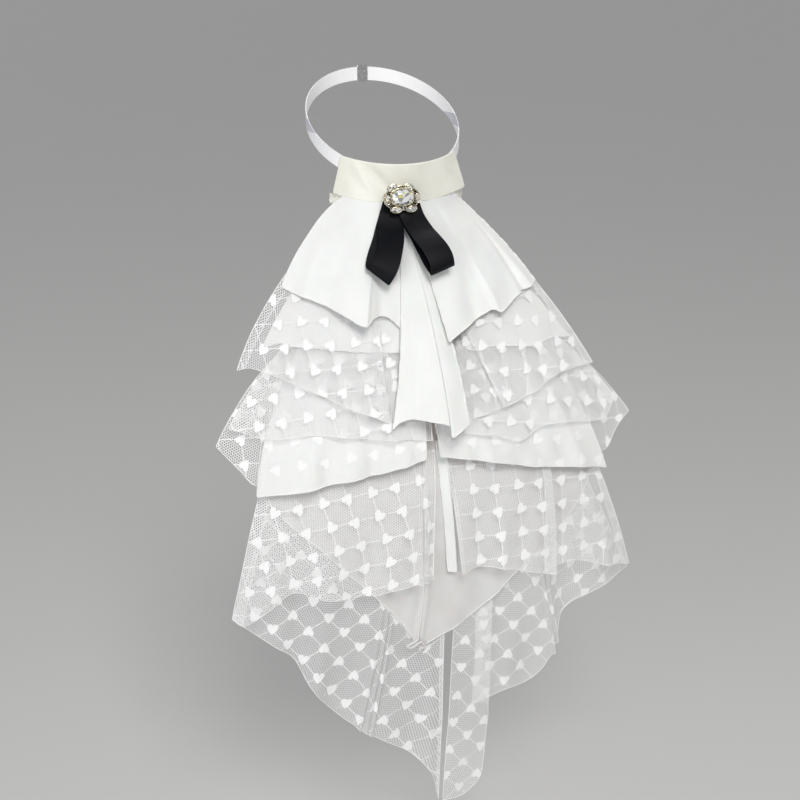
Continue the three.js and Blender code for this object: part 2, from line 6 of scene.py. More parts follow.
import bpy
import numpy as np
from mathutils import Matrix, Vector


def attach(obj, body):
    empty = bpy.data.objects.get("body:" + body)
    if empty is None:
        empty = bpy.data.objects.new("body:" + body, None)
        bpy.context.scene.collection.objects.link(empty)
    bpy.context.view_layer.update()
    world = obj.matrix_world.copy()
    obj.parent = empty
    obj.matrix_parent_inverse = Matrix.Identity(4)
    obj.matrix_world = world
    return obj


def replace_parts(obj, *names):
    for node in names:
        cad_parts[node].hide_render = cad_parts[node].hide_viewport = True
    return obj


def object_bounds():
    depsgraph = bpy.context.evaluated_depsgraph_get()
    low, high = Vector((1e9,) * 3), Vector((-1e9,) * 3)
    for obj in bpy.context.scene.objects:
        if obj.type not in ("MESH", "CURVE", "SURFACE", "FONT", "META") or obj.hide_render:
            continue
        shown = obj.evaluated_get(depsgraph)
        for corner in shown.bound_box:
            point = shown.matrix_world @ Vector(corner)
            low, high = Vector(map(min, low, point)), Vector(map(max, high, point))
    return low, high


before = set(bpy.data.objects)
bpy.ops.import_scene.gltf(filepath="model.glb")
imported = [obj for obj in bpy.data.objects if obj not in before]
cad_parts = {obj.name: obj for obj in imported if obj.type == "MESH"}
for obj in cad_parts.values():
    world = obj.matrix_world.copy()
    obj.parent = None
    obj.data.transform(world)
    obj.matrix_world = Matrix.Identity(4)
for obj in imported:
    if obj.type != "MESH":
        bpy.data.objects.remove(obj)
CAD_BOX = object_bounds()

MM = 0.001
DEG = math.pi / 180
BODY = "root"
RNG = np.random.default_rng(7)

# Camera and studio, in metres

CAMERA = {"place": (-0.28726, -1.0018, 0.12796), "pitch_down": 19.008, "yaw": -16.737,
          "lens": 60.3, "clip_start": 0.01}
TARGET = Vector((0.0, -0.12, -0.24))
LIGHTS = [
    {"name": "key", "place": (-0.08, -1.35, 1.08), "size": 0.7, "watts": 18.0,
     "tint": (1.0, 0.99, 0.97)},
    {"name": "fill", "place": (-1.3, -1.4, 0.1), "size": 1.0, "watts": 11.5,
     "tint": (0.97, 0.98, 1.0)},
    {"name": "rim", "place": (1.6, -0.6, 0.1), "size": 1.2, "watts": 1.6,
     "tint": (1.0, 0.99, 0.97)},
]
SUNS = [
    {"name": "high", "strength": 0.8, "angle": 30.0, "elevation": 62.0, "azimuth": 40.0},
    {"name": "back", "strength": 0.55, "angle": 40.0, "elevation": 16.0, "azimuth": -25.0},
]
WORLD = {"strength": 0.26, "tint": (0.95, 0.97, 1.0)}
FLOOR = {"drop": 0.05, "reach": 30.0, "tint": (0.54, 0.535, 0.525), "paler": 1.03}


def add_object(name, data):
    made = bpy.data.objects.new(name, data)
    bpy.context.scene.collection.objects.link(made)
    return made


def make_camera():
    data = bpy.data.cameras.new("camera")
    data.lens = CAMERA["lens"]
    data.clip_start = CAMERA["clip_start"]
    camera = add_object("camera", data)
    camera.location = CAMERA["place"]
    camera.rotation_euler = ((90 - CAMERA["pitch_down"]) * DEG, 0, CAMERA["yaw"] * DEG)
    bpy.context.scene.camera = camera


def add_light(name, kind, energy):
    data = bpy.data.lights.new(name, kind)
    data.energy = energy
    return add_object(name, data)


def make_lights():
    for row in LIGHTS:
        light = add_light(row["name"], "AREA", row["watts"])
        light.data.size = row["size"]
        light.data.color = row["tint"]
        light.location = row["place"]
        light.rotation_euler = (TARGET - light.location).to_track_quat("-Z", "Y").to_euler()
    for row in SUNS:
        sun = add_light(row["name"], "SUN", row["strength"])
        sun.data.angle = row["angle"] * DEG
        sun.rotation_euler = ((90 - row["elevation"]) * DEG, 0, (180 - row["azimuth"]) * DEG)
    world = bpy.data.worlds.new("studio")
    world.use_nodes = True
    background = world.node_tree.nodes["Background"]
    background.inputs["Color"].default_value = (*WORLD["tint"], 1)
    background.inputs["Strength"].default_value = WORLD["strength"]
    bpy.context.scene.world = world
    bpy.context.scene.view_settings.view_transform = "Standard"


make_camera()
make_lights()

# Driving sizes, as in the part

BAND = {"top_z": -29, "height": 27, "end_rise": 5.5, "top_radius": 60.4, "bottom_radius": 61.5,
        "top_half_angle": 46, "bottom_half_angle": 52, "thickness": 1.6,
        "left_flare": 0.5, "right_flare": 5}
# Dents of the band: share of its length, width as a share, and height. They lean by the slant.
BAND_DENTS = [(0.33, 0.06, -2.0), (0.23, 0.06, 1.1), (0.44, 0.05, 0.8), (0.72, 0.09, -1.4),
              (0.87, 0.05, 0.8)]
BAND_HOLLOW = 0.9
BAND_SLANT = 0.22
# The raw ends of the band's lining: name, side, radius, first and last angle, top, and the inner
# and outer lower corners. Crumples are waves: length across and down, height and phase.
SEAM_TABS = [("seam_tab_left", -1, 60.4, 46, 57, -51.8, -61, -58.5),
             ("seam_tab_right", 1, 62.7, 47, 59, -51.2, -60, -61.5)]
CRUMPLES = [(5.3, 7.1, 0.35, 0.0), (3.1, -4.3, 0.2, 1.0), (2.2, 9.0, 0.1, 2.0)]
TAB_WIDTH = 12
FRAY = {"every": 0.55, "length": 1.6}
STITCH = {"first": 2, "run": 4, "skip": 1, "down": 0.86}
SEAM_GAP = 0.5
STRAP = {"radius": 58.5, "width": 10.5, "thickness": 0.7, "slope": 0.55, "drop_at_axis": 6.2,
         "tuck_angle": 42, "clasp_width": 8, "gap": 0.3}
# The chest front: height, how far forward it is, and its radius from side to side.
CHEST = [
    (40, 61.5, 50),
    (-56, 61.5, 50),
    (-80, 67, 85),
    (-110, 79, 150),
    (-150, 98, 260),
    (-200, 120, 420),
    (-250, 136, 520),
    (-300, 144, 600),
    (-360, 147, 650),
    (-560, 147, 700),
]
# The panel: height, left edge and right edge.
PANEL = [
    (-57.2, -38, 38),
    (-70, -40, 40),
    (-85, -52, 52),
    (-115, -80, 84),
    (-150, -98, 102),
    (-190, -113, 118),
    (-225, -125, 129),
    (-247, -127, 131),
    (-270, -111, 126),
    (-293, -87, 108),
    (-312, -69, 87),
    (-330, -51, 61),
    (-347, -36, 42),
    (-362, -25, 19),
    (-371, -19.5, 1),
    (-378, -16, -12),
]
PANEL_SEAM_SHARE = 0.08
# The stitched seam down the middle of the panel, as sideways place and height, and the small
# twisted corner at its point, with the stand-off too.
PANEL_SEAM = [(-7.5, -228), (-9.5, -290), (-12, -334), (-16.5, -371)]
PANEL_KNOT = [(-16, -370.5, 1.7), (-19.5, -373, 1.9), (-23, -374.5, 2.0), (-24.5, -376, 1.6),
              (-22.5, -377, 2.2), (-20, -376, 2.8), (-17, -374.3, 2.4), (-14, -373.5, 1.9),
              (-12.3, -375.5, 2.0), (-11.8, -378.5, 1.8), (-13.3, -380.6, 2.1),
              (-15.2, -379.6, 2.5), (-14.3, -378, 2.8), (-12.2, -378.4, 2.7)]
KNOT_POINTS = 8 * len(PANEL_KNOT)
# Puckers along the seam: place beside it, width and height.
PANEL_PUCKERS = [(2.5, 3.0, 1.3), (-2.5, 3.0, -1.1), (-13, 8, -2.0)]
SEAM_RISE = 1.6
SEAM_STITCHES = 3.2
# Thickness of the cloth, and how far a veil and a folded side stand off the cloth next to them.
CHIFFON = 0.55
RIBBON = 0.5
VEIL_GAP = 0.9
TURNED_GAP = 0.8
# Distance between the points of each cloth.
STEPS = {"chiffon": 1.9, "net": 2.1, "band": 1.2, "strap": 1.5, "ribbon": 1.0, "tab": 0.6}
# Sewn edges, threads and the twisted corner, as round cords. Twist makes a sewn rope of one.
CORDS = {
    "hem": {"radius": 0.58, "step": 0.75, "sides": 8, "twist": 0.2},
    "seam": {"radius": 0.5, "step": 0.75, "sides": 8, "twist": 0.3},
    "knot": {"radius": 1.15, "step": 0.6, "sides": 10, "twist": 0.25, "lobes": 3, "pitch": 5.0},
    "fold": {"radius": BAND["thickness"] / 2, "step": 1.2, "sides": 8},
    "net_hem": {"radius": 0.26, "step": 1.6},
    "net_side": {"radius": 0.36, "step": 1.6},
    "stitch": {"radius": 0.2, "step": 0.7},
    "fray": {"radius": 0.09, "step": 0.5, "sides": 4},
}
# How far a hem strays from its line, which way, and the lengths and phases of its waves.
HEM_STRAY = 0.16
HEM_LEAN = (0.3, -0.6, 0.8)
HEM_WAVES = [(1.9, 0), (3.1, 1), (0.83, 0)]

# Tiers: each has the sewn edge it hangs from and its hem, as rows of sideways place, height
# and stand-off from the chest front. bow pushes the two side edges sideways halfway down.
# matched pairs a row of the hem with a row of the sewn edge, where a pleat runs from one to
# the other. grain turns the pattern of the net, and turned is the net folded back at a side.
# folds are soft ridges or, where their height is negative, hollows: share of the sewn edge and
# of the hem where each runs, its width as a share, its height, and how far down it starts.
TIERS = {
    "tulle_tier_4_left": {
        "cloth": "net", "bow": (0, 1), "grain": 8, "offset": (3, 4),
        "top": [(-118, -246, -1.7), (6, -246, -1.7)],
        "hem": [(-151, -349, -9), (-130, -363, -4), (-110, -379, -7), (-98, -403, -3),
                (-78, -430, -6), (-45, -456, -3), (-20, -474, -6), (-3, -495, -4), (3, -521, -4)],
        "folds": [(0.70, 0.56, 0.010, 5.5, 0.25), (0.73, 0.585, 0.009, 5.0, 0.2),
                  (0.76, 0.605, 0.008, 4.5, 0.3), (0.4, 0.36, 0.05, 5, 0.3),
                  (0.9, 0.86, 0.05, 3, 0.3), (0.18, 0.16, 0.04, 4, 0.2)],
        "turned": [("right", 3, 7)],
    },
    "tulle_tier_4_right": {
        "cloth": "net", "bow": (2, 0), "grain": 7, "offset": (12, 9),
        "top": [(15, -246, -1.7), (44, -246, -1.7), (31, -246, -3), (118, -246, -3.6)],
        "hem": [(6, -521, -3), (22, -521, -3), (36, -509, -3), (40, -492, -3), (42, -470, -3),
                (43, -441, -4), (31, -440, -7), (43, -440, -10), (57, -432, -9), (81, -428, -6),
                (95, -412, -3), (103, -394, -5), (111, -374, -9), (150, -357, -6),
                (171, -352, -9)],
        "matched": [(5, 1), (6, 2)],
        "folds": [(0.70, 0.67, 0.008, 5.5, 0.25), (0.73, 0.70, 0.008, 5, 0.25),
                  (0.55, 0.5, 0.04, 4, 0.3), (0.9, 0.9, 0.05, 4, 0.3)],
    },
    "tulle_tier_3_left": {
        "cloth": "net", "bow": (-2, 0), "grain": 33, "offset": (9, 2),
        "top": [(-121, -228, 1.7), (1, -226, 1.7)],
        "hem": [(-153, -343, 2), (-146, -346, 8), (-130, -332, 13), (-110, -321, 8),
                (-87, -325, 13), (-56, -327, 7), (-30, -323, 12), (-7, -319, 8)],
        "folds": [(0.91, 0.94, 0.012, 4, 0.0), (0.95, 0.97, 0.010, 4, 0.0),
                  (0.42, 0.5, 0.05, 3, 0.2), (0.7, 0.72, 0.04, 3, 0.3)],
        "turned": [("left", 7, 9)],
    },
    "tulle_tier_3_right": {
        "cloth": "net", "bow": (0, 2), "grain": 44, "offset": (2, 13),
        "top": [(9, -226, 1.7), (92, -227, 2.6), (86, -227, 1.6), (125, -228, 1.7)],
        "hem": [(15, -317, 14), (31, -315, 8), (64, -322, 12), (93, -331, 14), (84, -329, 10),
                (108, -324, 8), (136, -333, 9), (166, -343, 3)],
        "matched": [(3, 1), (4, 2)],
        "folds": [(0.25, 0.2, 0.03, 3, 0.2), (0.85, 0.86, 0.03, 4, 0.2)],
        "turned": [("left", 2, 3), ("right", 6, 8)],
    },
    "tulle_under_left": {
        "cloth": "net", "bow": (-7, 0), "grain": 40, "offset": (5, 0),
        "top": [(-90, -146, 1.7), (-5, -146, 1.7)],
        "hem": [(-155, -217, 4.5), (-141, -232, 4.5), (-130, -243, 4.5), (-99, -234, 4.5),
                (-50, -224, 4.5), (-12, -218, 4.5)],
    },
    "tulle_under_right": {
        "cloth": "net", "bow": (0, 7), "grain": 48, "offset": (0, 6),
        "top": [(5, -146, 1.7), (94, -146, 1.7)],
        "hem": [(13, -216, 4.5), (50, -224, 4.5), (99, -236, 4.5), (142, -246, 4.5),
                (159, -231, 4.5), (171, -223, 4.5)],
    },
    "chiffon_tier_left": {
        "cloth": "chiffon", "finish": "lining", "bow": (-8, 0),
        "veil": {"grain": 36, "offset": (7, 3)},
        "top": [(-84, -146, 3.4), (-2, -146, 3.4)],
        "hem": [(-131, -249, 9), (-110, -247, 10), (-90, -244, 9.5), (-51, -238, 10.5),
                (-8, -230, 9)],
        "folds": [(0.35, 0.3, 0.06, 2.5, 0.2), (0.62, 0.66, 0.05, -2.5, 0.2),
                  (0.85, 0.88, 0.04, 2, 0.1)],
    },
    "chiffon_tier_right": {
        "cloth": "chiffon", "finish": "lining", "bow": (0, 6),
        "veil": {"grain": 47, "offset": (1, 8)},
        "top": [(1, -146, 3.4), (88, -146, 3.4)],
        "hem": [(3, -229, 9.5), (11, -230, 9.5), (40, -236, 10.5), (85, -247, 9.5), (120, -252, 10),
                (141, -257, 9)],
        "folds": [(0.3, 0.27, 0.05, 2.5, 0.2), (0.55, 0.6, 0.06, -2.5, 0.2),
                  (0.8, 0.84, 0.05, 2.5, 0.2)],
    },
    "tulle_tier_2_left": {
        "cloth": "net", "bow": (-4, 0), "grain": 34, "offset": (0, 11),
        "top": [(-92, -146, 5.1), (-2, -146, 5.1)],
        "hem": [(-146, -203, 11), (-120, -209, 13), (-82, -208, 12), (-40, -212, 14),
                (-3, -216, 12)],
        "folds": [(0.5, 0.55, 0.05, 3, 0.1), (0.75, 0.8, 0.05, 3, 0.2)],
        "turned": [("left", 7, 11)],
    },
    "tulle_tier_2_right": {
        "cloth": "net", "bow": (0, 4), "grain": 51, "offset": (8, 5),
        "top": [(1, -146, 5.1), (96, -146, 5.1)],
        "hem": [(1, -212, 12), (42, -216, 13), (64, -224, 15), (82, -218, 12), (104, -216, 14),
                (141, -221, 12), (156, -208, 10)],
        "folds": [(0.2, 0.22, 0.05, 3, 0.1), (0.7, 0.66, 0.04, 3, 0.2)],
        "turned": [("right", 4, 6)],
    },
    "lining_tier_left": {
        "cloth": "chiffon", "finish": "lining", "bow": (-3, 0),
        "top": [(-62, -92, 2), (-5, -92, 1.8)],
        "hem": [(-116, -154, 7.5), (-104, -149, 8), (-93, -151, 8), (-47, -155, 8),
                (-12, -157, 8)],
    },
    "lining_tier_right": {
        "cloth": "chiffon", "finish": "lining", "bow": (0, 3),
        "top": [(10, -92, 1.8), (64, -92, 2.1)],
        "hem": [(34, -160, 8), (56, -159, 8.6), (89, -163, 9), (106, -161, 9), (124, -162, 8.4)],
    },
    "tulle_tier_1_left": {
        "cloth": "net", "bow": (-4, 0), "grain": 38, "offset": (4, 7),
        "top": [(-84, -100, 5), (-30, -103, 5.6), (-35, -103, 4.8), (-5, -104, 4.6)],
        "hem": [(-135, -166, 12), (-125, -164, 13), (-103, -171, 16), (-83, -180, 14),
                (-58, -191, 17), (-34, -200, 17), (-41, -199, 13), (-13, -203, 12.5)],
        "matched": [(5, 1), (6, 2)],
        "folds": [(0.3, 0.26, 0.05, 2.5, 0.2), (0.5, 0.5, 0.04, 2.5, 0.3)],
        "turned": [("left", 9, 6)],
    },
    "tulle_tier_1_right": {
        "cloth": "net", "bow": (0, 4), "grain": 48, "offset": (7, 1),
        "top": [(5, -104, 4.4), (23, -103, 4.6), (13, -103, 5.6), (88, -102, 5)],
        "hem": [(17, -206, 13), (40, -203, 12.6), (67, -197, 13), (54, -199, 17), (80, -191, 16),
                (106, -181, 18), (139, -181, 13)],
        "matched": [(2, 1), (3, 2)],
        "folds": [(0.6, 0.62, 0.04, 3, 0.2), (0.85, 0.84, 0.05, 3, 0.3)],
        "turned": [("right", 4, 6)],
    },
    "top_tier_left": {
        "cloth": "chiffon", "bow": (-4, 0),
        "top": [(-43, None, 2.2), (-28, None, 2), (-4, None, 1.7)],
        "hem": [(-95, -114, 9), (-84, -118, 11), (-72, -122, 14), (-59, -128, 18),
                (-45, -135, 22), (-37, -132, 16), (-30, -131, 10), (-22, -134, 9.5),
                (-15, -142, 10.5)],
        "folds": [(0.12, 0.14, 0.04, 2.5, 0.3), (0.4, 0.33, 0.07, -3, 0.15),
                  (0.75, 0.6, 0.03, 1.5, 0.3)],
    },
    "top_tier_right": {
        "cloth": "chiffon", "bow": (0, 5),
        "top": [(3, None, 1.7), (28, None, 2), (41.5, None, 2.2)],
        "hem": [(15, -148, 25), (24, -144, 23), (38, -139, 18), (55, -133, 13), (59, -133, 14.5),
                (64, -135, 18), (82, -128, 12), (104, -122, 9)],
        "folds": [(0.93, 0.84, 0.025, -4.5, 0.25), (0.9, 0.93, 0.03, 2.5, 0.3),
                  (0.45, 0.3, 0.07, -2.5, 0.2), (0.6, 0.5, 0.05, 2, 0.3)],
    },
    "centre_cascade": {
        "cloth": "chiffon", "bow": (4, 4),
        "top": [(-7, -72, 4.4), (-1, -72, 4.4), (-2.5, -72, 5.6), (4.5, -72, 5)],
        "hem": [(-33, -204, 19), (-27, -199.5, 20), (-20, -197.5, 23), (-12, -198, 26),
                (-2, -199, 28), (8, -203, 29), (6, -208, 33), (14, -206, 31), (22, -203, 27)],
        "matched": [(5, 1), (6, 2)],
        "folds": [(0.25, 0.3, 0.1, -2.5, 0.1)],
    },
    "centre_pleat": {
        "cloth": "chiffon", "bow": (0, 0),
        "top": [(2.5, -220, 1.6), (10, -220, 1.6)],
        "hem": [(7, -318, 1.6), (13.5, -319, 2.4)],
    },
}

# Ribbon loops, a row for each place down the back strand and up the front one: sideways place,
# height, stand-off, turn and width.
RIBBONS = {
    "ribbon_loop_left": [
        (-10, -55, 2.9, -3, 15),
        (-12, -63, 4.6, -4, 17),
        (-15.5, -72, 7.6, -5, 18.5),
        (-20, -82, 10.5, -9, 18.5),
        (-25.5, -92, 13.5, -22, 18),
        (-30, -101, 16.5, -38, 18),
        (-30.5, -103.5, 19.5, -39, 18),
        (-28.5, -100.5, 22.5, -35, 18),
        (-24, -94.5, 22.5, -19, 18),
        (-19.5, -86, 19.5, -7, 18),
        (-16.5, -79, 15, -3, 18.5),
        (-15, -72, 9.6, -1, 19.5),
        (-12.5, -63, 5.9, -3, 17),
        (-10, -55, 4.2, -3, 15),
    ],
    "ribbon_loop_right": [
        (1, -55, 5.5, -3, 16),
        (2, -63, 7.2, -1, 18.5),
        (4, -71, 11, 2, 19.5),
        (7.5, -78.5, 14.2, 8, 19.5),
        (10.5, -86, 17, 12, 19.5),
        (14, -95, 20.5, 14, 19.5),
        (17, -100.5, 24.5, 15, 19.5),
        (16.5, -97.5, 28, 15, 19.5),
        (15.5, -91.5, 29, 13, 19.5),
        (13, -85, 27, 11, 19.5),
        (9.5, -79.5, 22.5, 9, 19.5),
        (5.5, -73, 15.5, 4, 19.5),
        (1.5, -63, 8.5, -1, 18.5),
        (0.5, -55, 6.8, -3, 16),
    ],
}

# The brooch, in its own frame: x to the wearer's left, y up and depth outwards. seat is where
# on the wall of a cup or bezel its cord and beads run, and sink how far parts overlap.
BROOCH = {"x": -6.3, "z": -50.9, "out": 10, "plate": 1.6, "half_width": 13.5, "half_height": 9.1,
          "lip": 0.55, "rim": 0.36, "cup": 0.45, "cup_top": 2.9, "bezel": 0.75, "bezel_top": 3.7,
          "fit": 0.1, "bead": 0.27, "beads": 64, "bar": 0.4, "bar_top": 2.5, "prong": 0.4,
          "post_radius": 3.0, "post_up": 4.5, "post": 9.0, "seat": 0.6, "sink": 0.2,
          "bevel": 0.3, "cup_cord": 0.3, "bezel_cord": 0.4, "bar_bevel": 0.08,
          "bar_start": (9.3, 7.2), "prong_out": 0.3, "prong_reach": 2.0, "prong_up": 0.5,
          "prong_top": 1.0, "prong_step": 0.3}
# Points round the outline of the brooch, the bezel, a cup, the post, and a cord.
ROUND = {"outline": 180, "bezel": 72, "cup": 32, "post": 24, "cord": 8}
# Stones: x, y, width, height, turn, depth, squareness and number of sides.
STONES = {
    "centre_stone": [(0.2, 0.9, 16.0, 11.3, 0, 4.6, 2.5, 10)],
    "side_stone_1": [(-7.4, 7.7, 6.6, 3.6, 26, 2.8, 2.0, 8)],
    "side_stone_2": [(5.0, 8.1, 6.0, 3.0, -14, 2.8, 2.0, 8)],
    "side_stone_3": [(-11.5, 1.3, 3.0, 3.2, 0, 2.6, 2.0, 6),
                     (-11.1, -2.2, 3.2, 3.2, 0, 2.6, 2.0, 6)],
    "side_stone_4": [(11.4, 1.0, 2.9, 3.0, 0, 2.6, 2.0, 6), (11.7, -2.1, 2.9, 2.9, 0, 2.6, 2.0, 6)],
    "side_stone_5": [(-4.3, -8.2, 7.6, 3.9, -4, 2.8, 1.6, 8)],
    "side_stone_6": [(7.3, -8.1, 7.0, 3.9, 6, 2.8, 1.6, 8)],
}
BAGUETTES = [(0.75, -7.3, 1.2, 3.2, 0, 2.6, 6.0, 4), (2.6, -7.3, 1.2, 3.2, 0, 2.6, 6.0, 4)]
# Directions, in degrees, of the thin bars that divide the dark recesses round the centre.
BARS = (20, 29, 38, 47, 85, 94, 103, 138, 148, 158, 200, 209, 218, 227, 321, 331, 341)
# Rings of a cut stone: share of its outline and of its depth, from the table down.
STONE_RINGS = {"table": (0.58, 0.96), "crown": (0.78, 0.78), "girdle": (1.0, 0.5),
               "foot": (0.9, 0.0)}

# Net pattern, in millimetres of cloth: the lattice of hearts, its threads and the fine mesh. soft
# is where a thread starts and ends to fade, as shares of half its width.
LATTICE = {"width": 27.0, "height": 24.0, "thread": 0.6, "soft": (0.6, 1.2),
           "wobble": 1.6, "wobble_scale": 0.12}
MESH = {"pitch": 1.9, "thread": 0.36, "soft": (0.7, 1.3)}
# Relief and pattern of the ribbons: the strap's ribs, how far in from each side the strap turns
# paler, and the black satin's slanting twill.
STRAP_WEAVE = {"ribs": 0.45, "edge": (1.2, 0.7)}
TWILL = {"slant": 0.8, "pitch": 0.7}
# Scale of the ivory satin's threads along it and across it.
SATIN_THREADS = (0.35, 5.0, 1.0)
HEART_NOTCH = -2.7
HEART = [(0.45, -2.7), (0.45, -3.6), (1.0, -3.6), (1.0, -4.0), (2.6, -4.0), (2.6, -3.6),
         (3.5, -3.6), (3.5, -2.8), (3.9, -2.8), (3.9, -0.8), (3.5, -0.8), (3.5, 0.4), (2.7, 0.4),
         (2.7, 1.6), (1.9, 1.6), (1.9, 2.7), (1.1, 2.7), (1.1, 3.6), (0.4, 3.6), (0.4, 4.1)]
HEART_THICKNESS = 0.34
# A heart is woven where at least this share of its outline is on the cloth, and its places on
# the cloth are found in so many rounds.
HEART_INSIDE = 0.6
SOLVE_ROUNDS = 14

# Folds grow towards the hem by this power.
FOLD_GROWTH = 1.2
# Slight unevenness of hanging cloth, in millimetres: wave length across, down, and height.
WAVES = [(61, 93, 0.7), (37, -71, 0.5), (23, 44, 0.25), (-29, 160, 0.35)]
# Trial points across and down a surface and across one that is turned back, and how many
# columns each radian of bend adds.
TRIAL = (401, 41)
TURNED_TRIAL = 81
BEND_COLUMNS = 2.5


def mix(a, b, t):
    return a + (b - a) * t


def smooth_column(keys, values, t):
    """Smooth curve through the rows of a table: one column's value where the key column is t."""
    keys = np.asarray(keys, float)
    values = np.asarray(values, float)
    last = len(keys) - 1
    rows = np.arange(last + 1)
    low = np.maximum(rows - 1, 0)
    high = np.minimum(rows + 1, last)
    slopes = (values[high] - values[low]) / (keys[high] - keys[low])
    i = np.clip(np.searchsorted(keys, t, side="left") - 1, 0, last - 1)
    span = keys[i + 1] - keys[i]
    s = np.clip((t - keys[i]) / span, 0, 1)
    s2 = s * s
    s3 = s2 * s
    near = (2 * s3 - 3 * s2 + 1) * values[i] + (s3 - 2 * s2 + s) * span * slopes[i]
    return near + (3 * s2 - 2 * s3) * values[i + 1] + (s3 - s2) * span * slopes[i + 1]


def distances(points):
    """How far along a line each of its points is."""
    return np.concatenate([[0.0], np.cumsum(np.linalg.norm(np.diff(points, axis=0), axis=1))])


def along_rows(rows):
    """A function of 0 to 1 that runs along the rows of a table by the distance between them."""
    table = np.array(rows, float)
    keys = distances(table[:, :3])
    return lambda u: [smooth_column(keys, table[:, k], u * keys[-1]) for k in range(table.shape[1])]


def chest_front(x, z):
    height, *columns = np.array(CHEST, float).T
    forward, around = (smooth_column(-height, column, -z) for column in columns)
    return forward - x * x / (2 * around)


def seam_height(x):
    angle = np.arcsin(np.clip(x / BAND["bottom_radius"], -0.8, 0.8)) / DEG
    middle = BAND["top_z"] - BAND["height"] - SEAM_GAP
    return middle + BAND["end_rise"] * (angle / BAND["bottom_half_angle"]) ** 2


def on_chest(x, z, out):
    return np.stack([x, -chest_front(x, z) - out, z], axis=-1)


def row_shares(rows):
    """How far along its edge each row of a table lies, from 0 to 1."""
    keys = distances(np.array(rows, float))
    return keys / keys[-1]


def tier_surface(tier):
    """A tier from its two edges. The pleats of the hem run up to matched rows of the sewn edge."""
    sewn = [(x, seam_height(x) if z is None else z, out) for x, z, out in tier["top"]]
    top = along_rows(sewn)
    hem = along_rows(tier["hem"])
    pairs = tier.get("matched", [])
    hem_keys = [0, *(row_shares(tier["hem"])[i] for i, _ in pairs), 1]
    top_keys = [0, *(row_shares(sewn)[j] for _, j in pairs), 1]
    folds = tier.get("folds", [])
    phase = tier["hem"][0][0] + tier["hem"][-1][1]

    def surface(u, v):
        x0, z0, out0 = top(np.interp(u, hem_keys, top_keys))
        x1, z1, out1 = hem(u)
        bulge = mix(tier["bow"][0], tier["bow"][1], u) * 4 * v * (1 - v)
        out = mix(out0, out1, v)
        for at_top, at_hem, width, height, start in folds:
            away = (u - mix(at_top, at_hem, v)) / width
            growth = np.clip((v - start) / (1 - start), 0, 1) ** FOLD_GROWTH
            out = out + height * growth * np.exp(-away * away)
        x, z = mix(x0, x1, v) + bulge, mix(z0, z1, v)
        for wide, tall, height in WAVES:
            out = out + height * v * np.sin(2 * math.pi * (x / wide + z / tall) + phase)
        return on_chest(x, z, out)

    return surface


def panel_surface(u, v):
    height, *edges = np.array(PANEL, float).T
    down = mix(-height[0], -height[-1], v)
    x = mix(*(smooth_column(-height, edge, down) for edge in edges), u)
    rise = (seam_height(x) - seam_height(0)) * np.maximum(0, 1 - v / PANEL_SEAM_SHARE)
    seam_x = np.interp(down, [-row[1] for row in PANEL_SEAM], [row[0] for row in PANEL_SEAM])
    out = 0 * x
    for place, width, height in PANEL_PUCKERS:
        out = out + height * v ** 2 * np.exp(-((x - seam_x - place) / width) ** 2)
    for wide, tall, height in WAVES:
        out = out + height * v * v * np.sin(2 * math.pi * (x / wide - down / tall))
    return on_chest(x, rise - down, out)


def ribbon_surface(rows):
    path = along_rows(rows)

    def surface(u, v):
        x, z, out, turn, width = path(u)
        reach = (v - 0.5) * width
        return on_chest(x + reach * np.cos(turn * DEG), z + reach * np.sin(turn * DEG), out)

    return surface


def band_surface(u, v):
    side = 2 * u - 1
    angle = side * mix(BAND["top_half_angle"], BAND["bottom_half_angle"], v) * DEG
    flare = np.where(side < 0, BAND["left_flare"], BAND["right_flare"])
    radius = mix(BAND["top_radius"], BAND["bottom_radius"], v) + flare * v * side ** 4
    radius = radius - BAND_HOLLOW * np.sin(math.pi * v) * (1 - side ** 4)
    for place, width, height in BAND_DENTS:
        away = (u - place - BAND_SLANT * (v - 0.5)) / width
        radius = radius + height * np.sin(math.pi * v) * np.exp(-away * away)
    z = BAND["top_z"] - BAND["height"] * v + BAND["end_rise"] * side * side
    return np.stack([radius * np.sin(angle), -radius * np.cos(angle), z], axis=-1)


def strap_surface(side):
    start = STRAP["tuck_angle"] * DEG
    end = math.pi - math.asin((STRAP["clasp_width"] / 2 + STRAP["gap"]) / STRAP["radius"])

    def surface(u, v):
        angle = side * mix(start, end, u)
        y = -STRAP["radius"] * np.cos(angle)
        middle = STRAP["slope"] * y - STRAP["drop_at_axis"]
        z = middle + (0.5 - v) * STRAP["width"]
        return np.stack([STRAP["radius"] * np.sin(angle), y, z], axis=-1)

    return surface


def seam_tab_surface(tab):
    _, side, radius, first, last, top, inner, outer = tab

    def surface(u, v):
        angle = side * mix(first, last, u) * DEG
        z = mix(top, mix(inner, outer, u), v)
        reach = radius + 0 * z
        for wide, tall, height, phase in CRUMPLES:
            wave = 2 * math.pi * (u * TAB_WIDTH / wide + z / tall) + phase
            reach = reach + height * v * np.sin(wave)
        return np.stack([reach * np.sin(angle), -reach * np.cos(angle), z], axis=-1)

    return surface


# Meshes


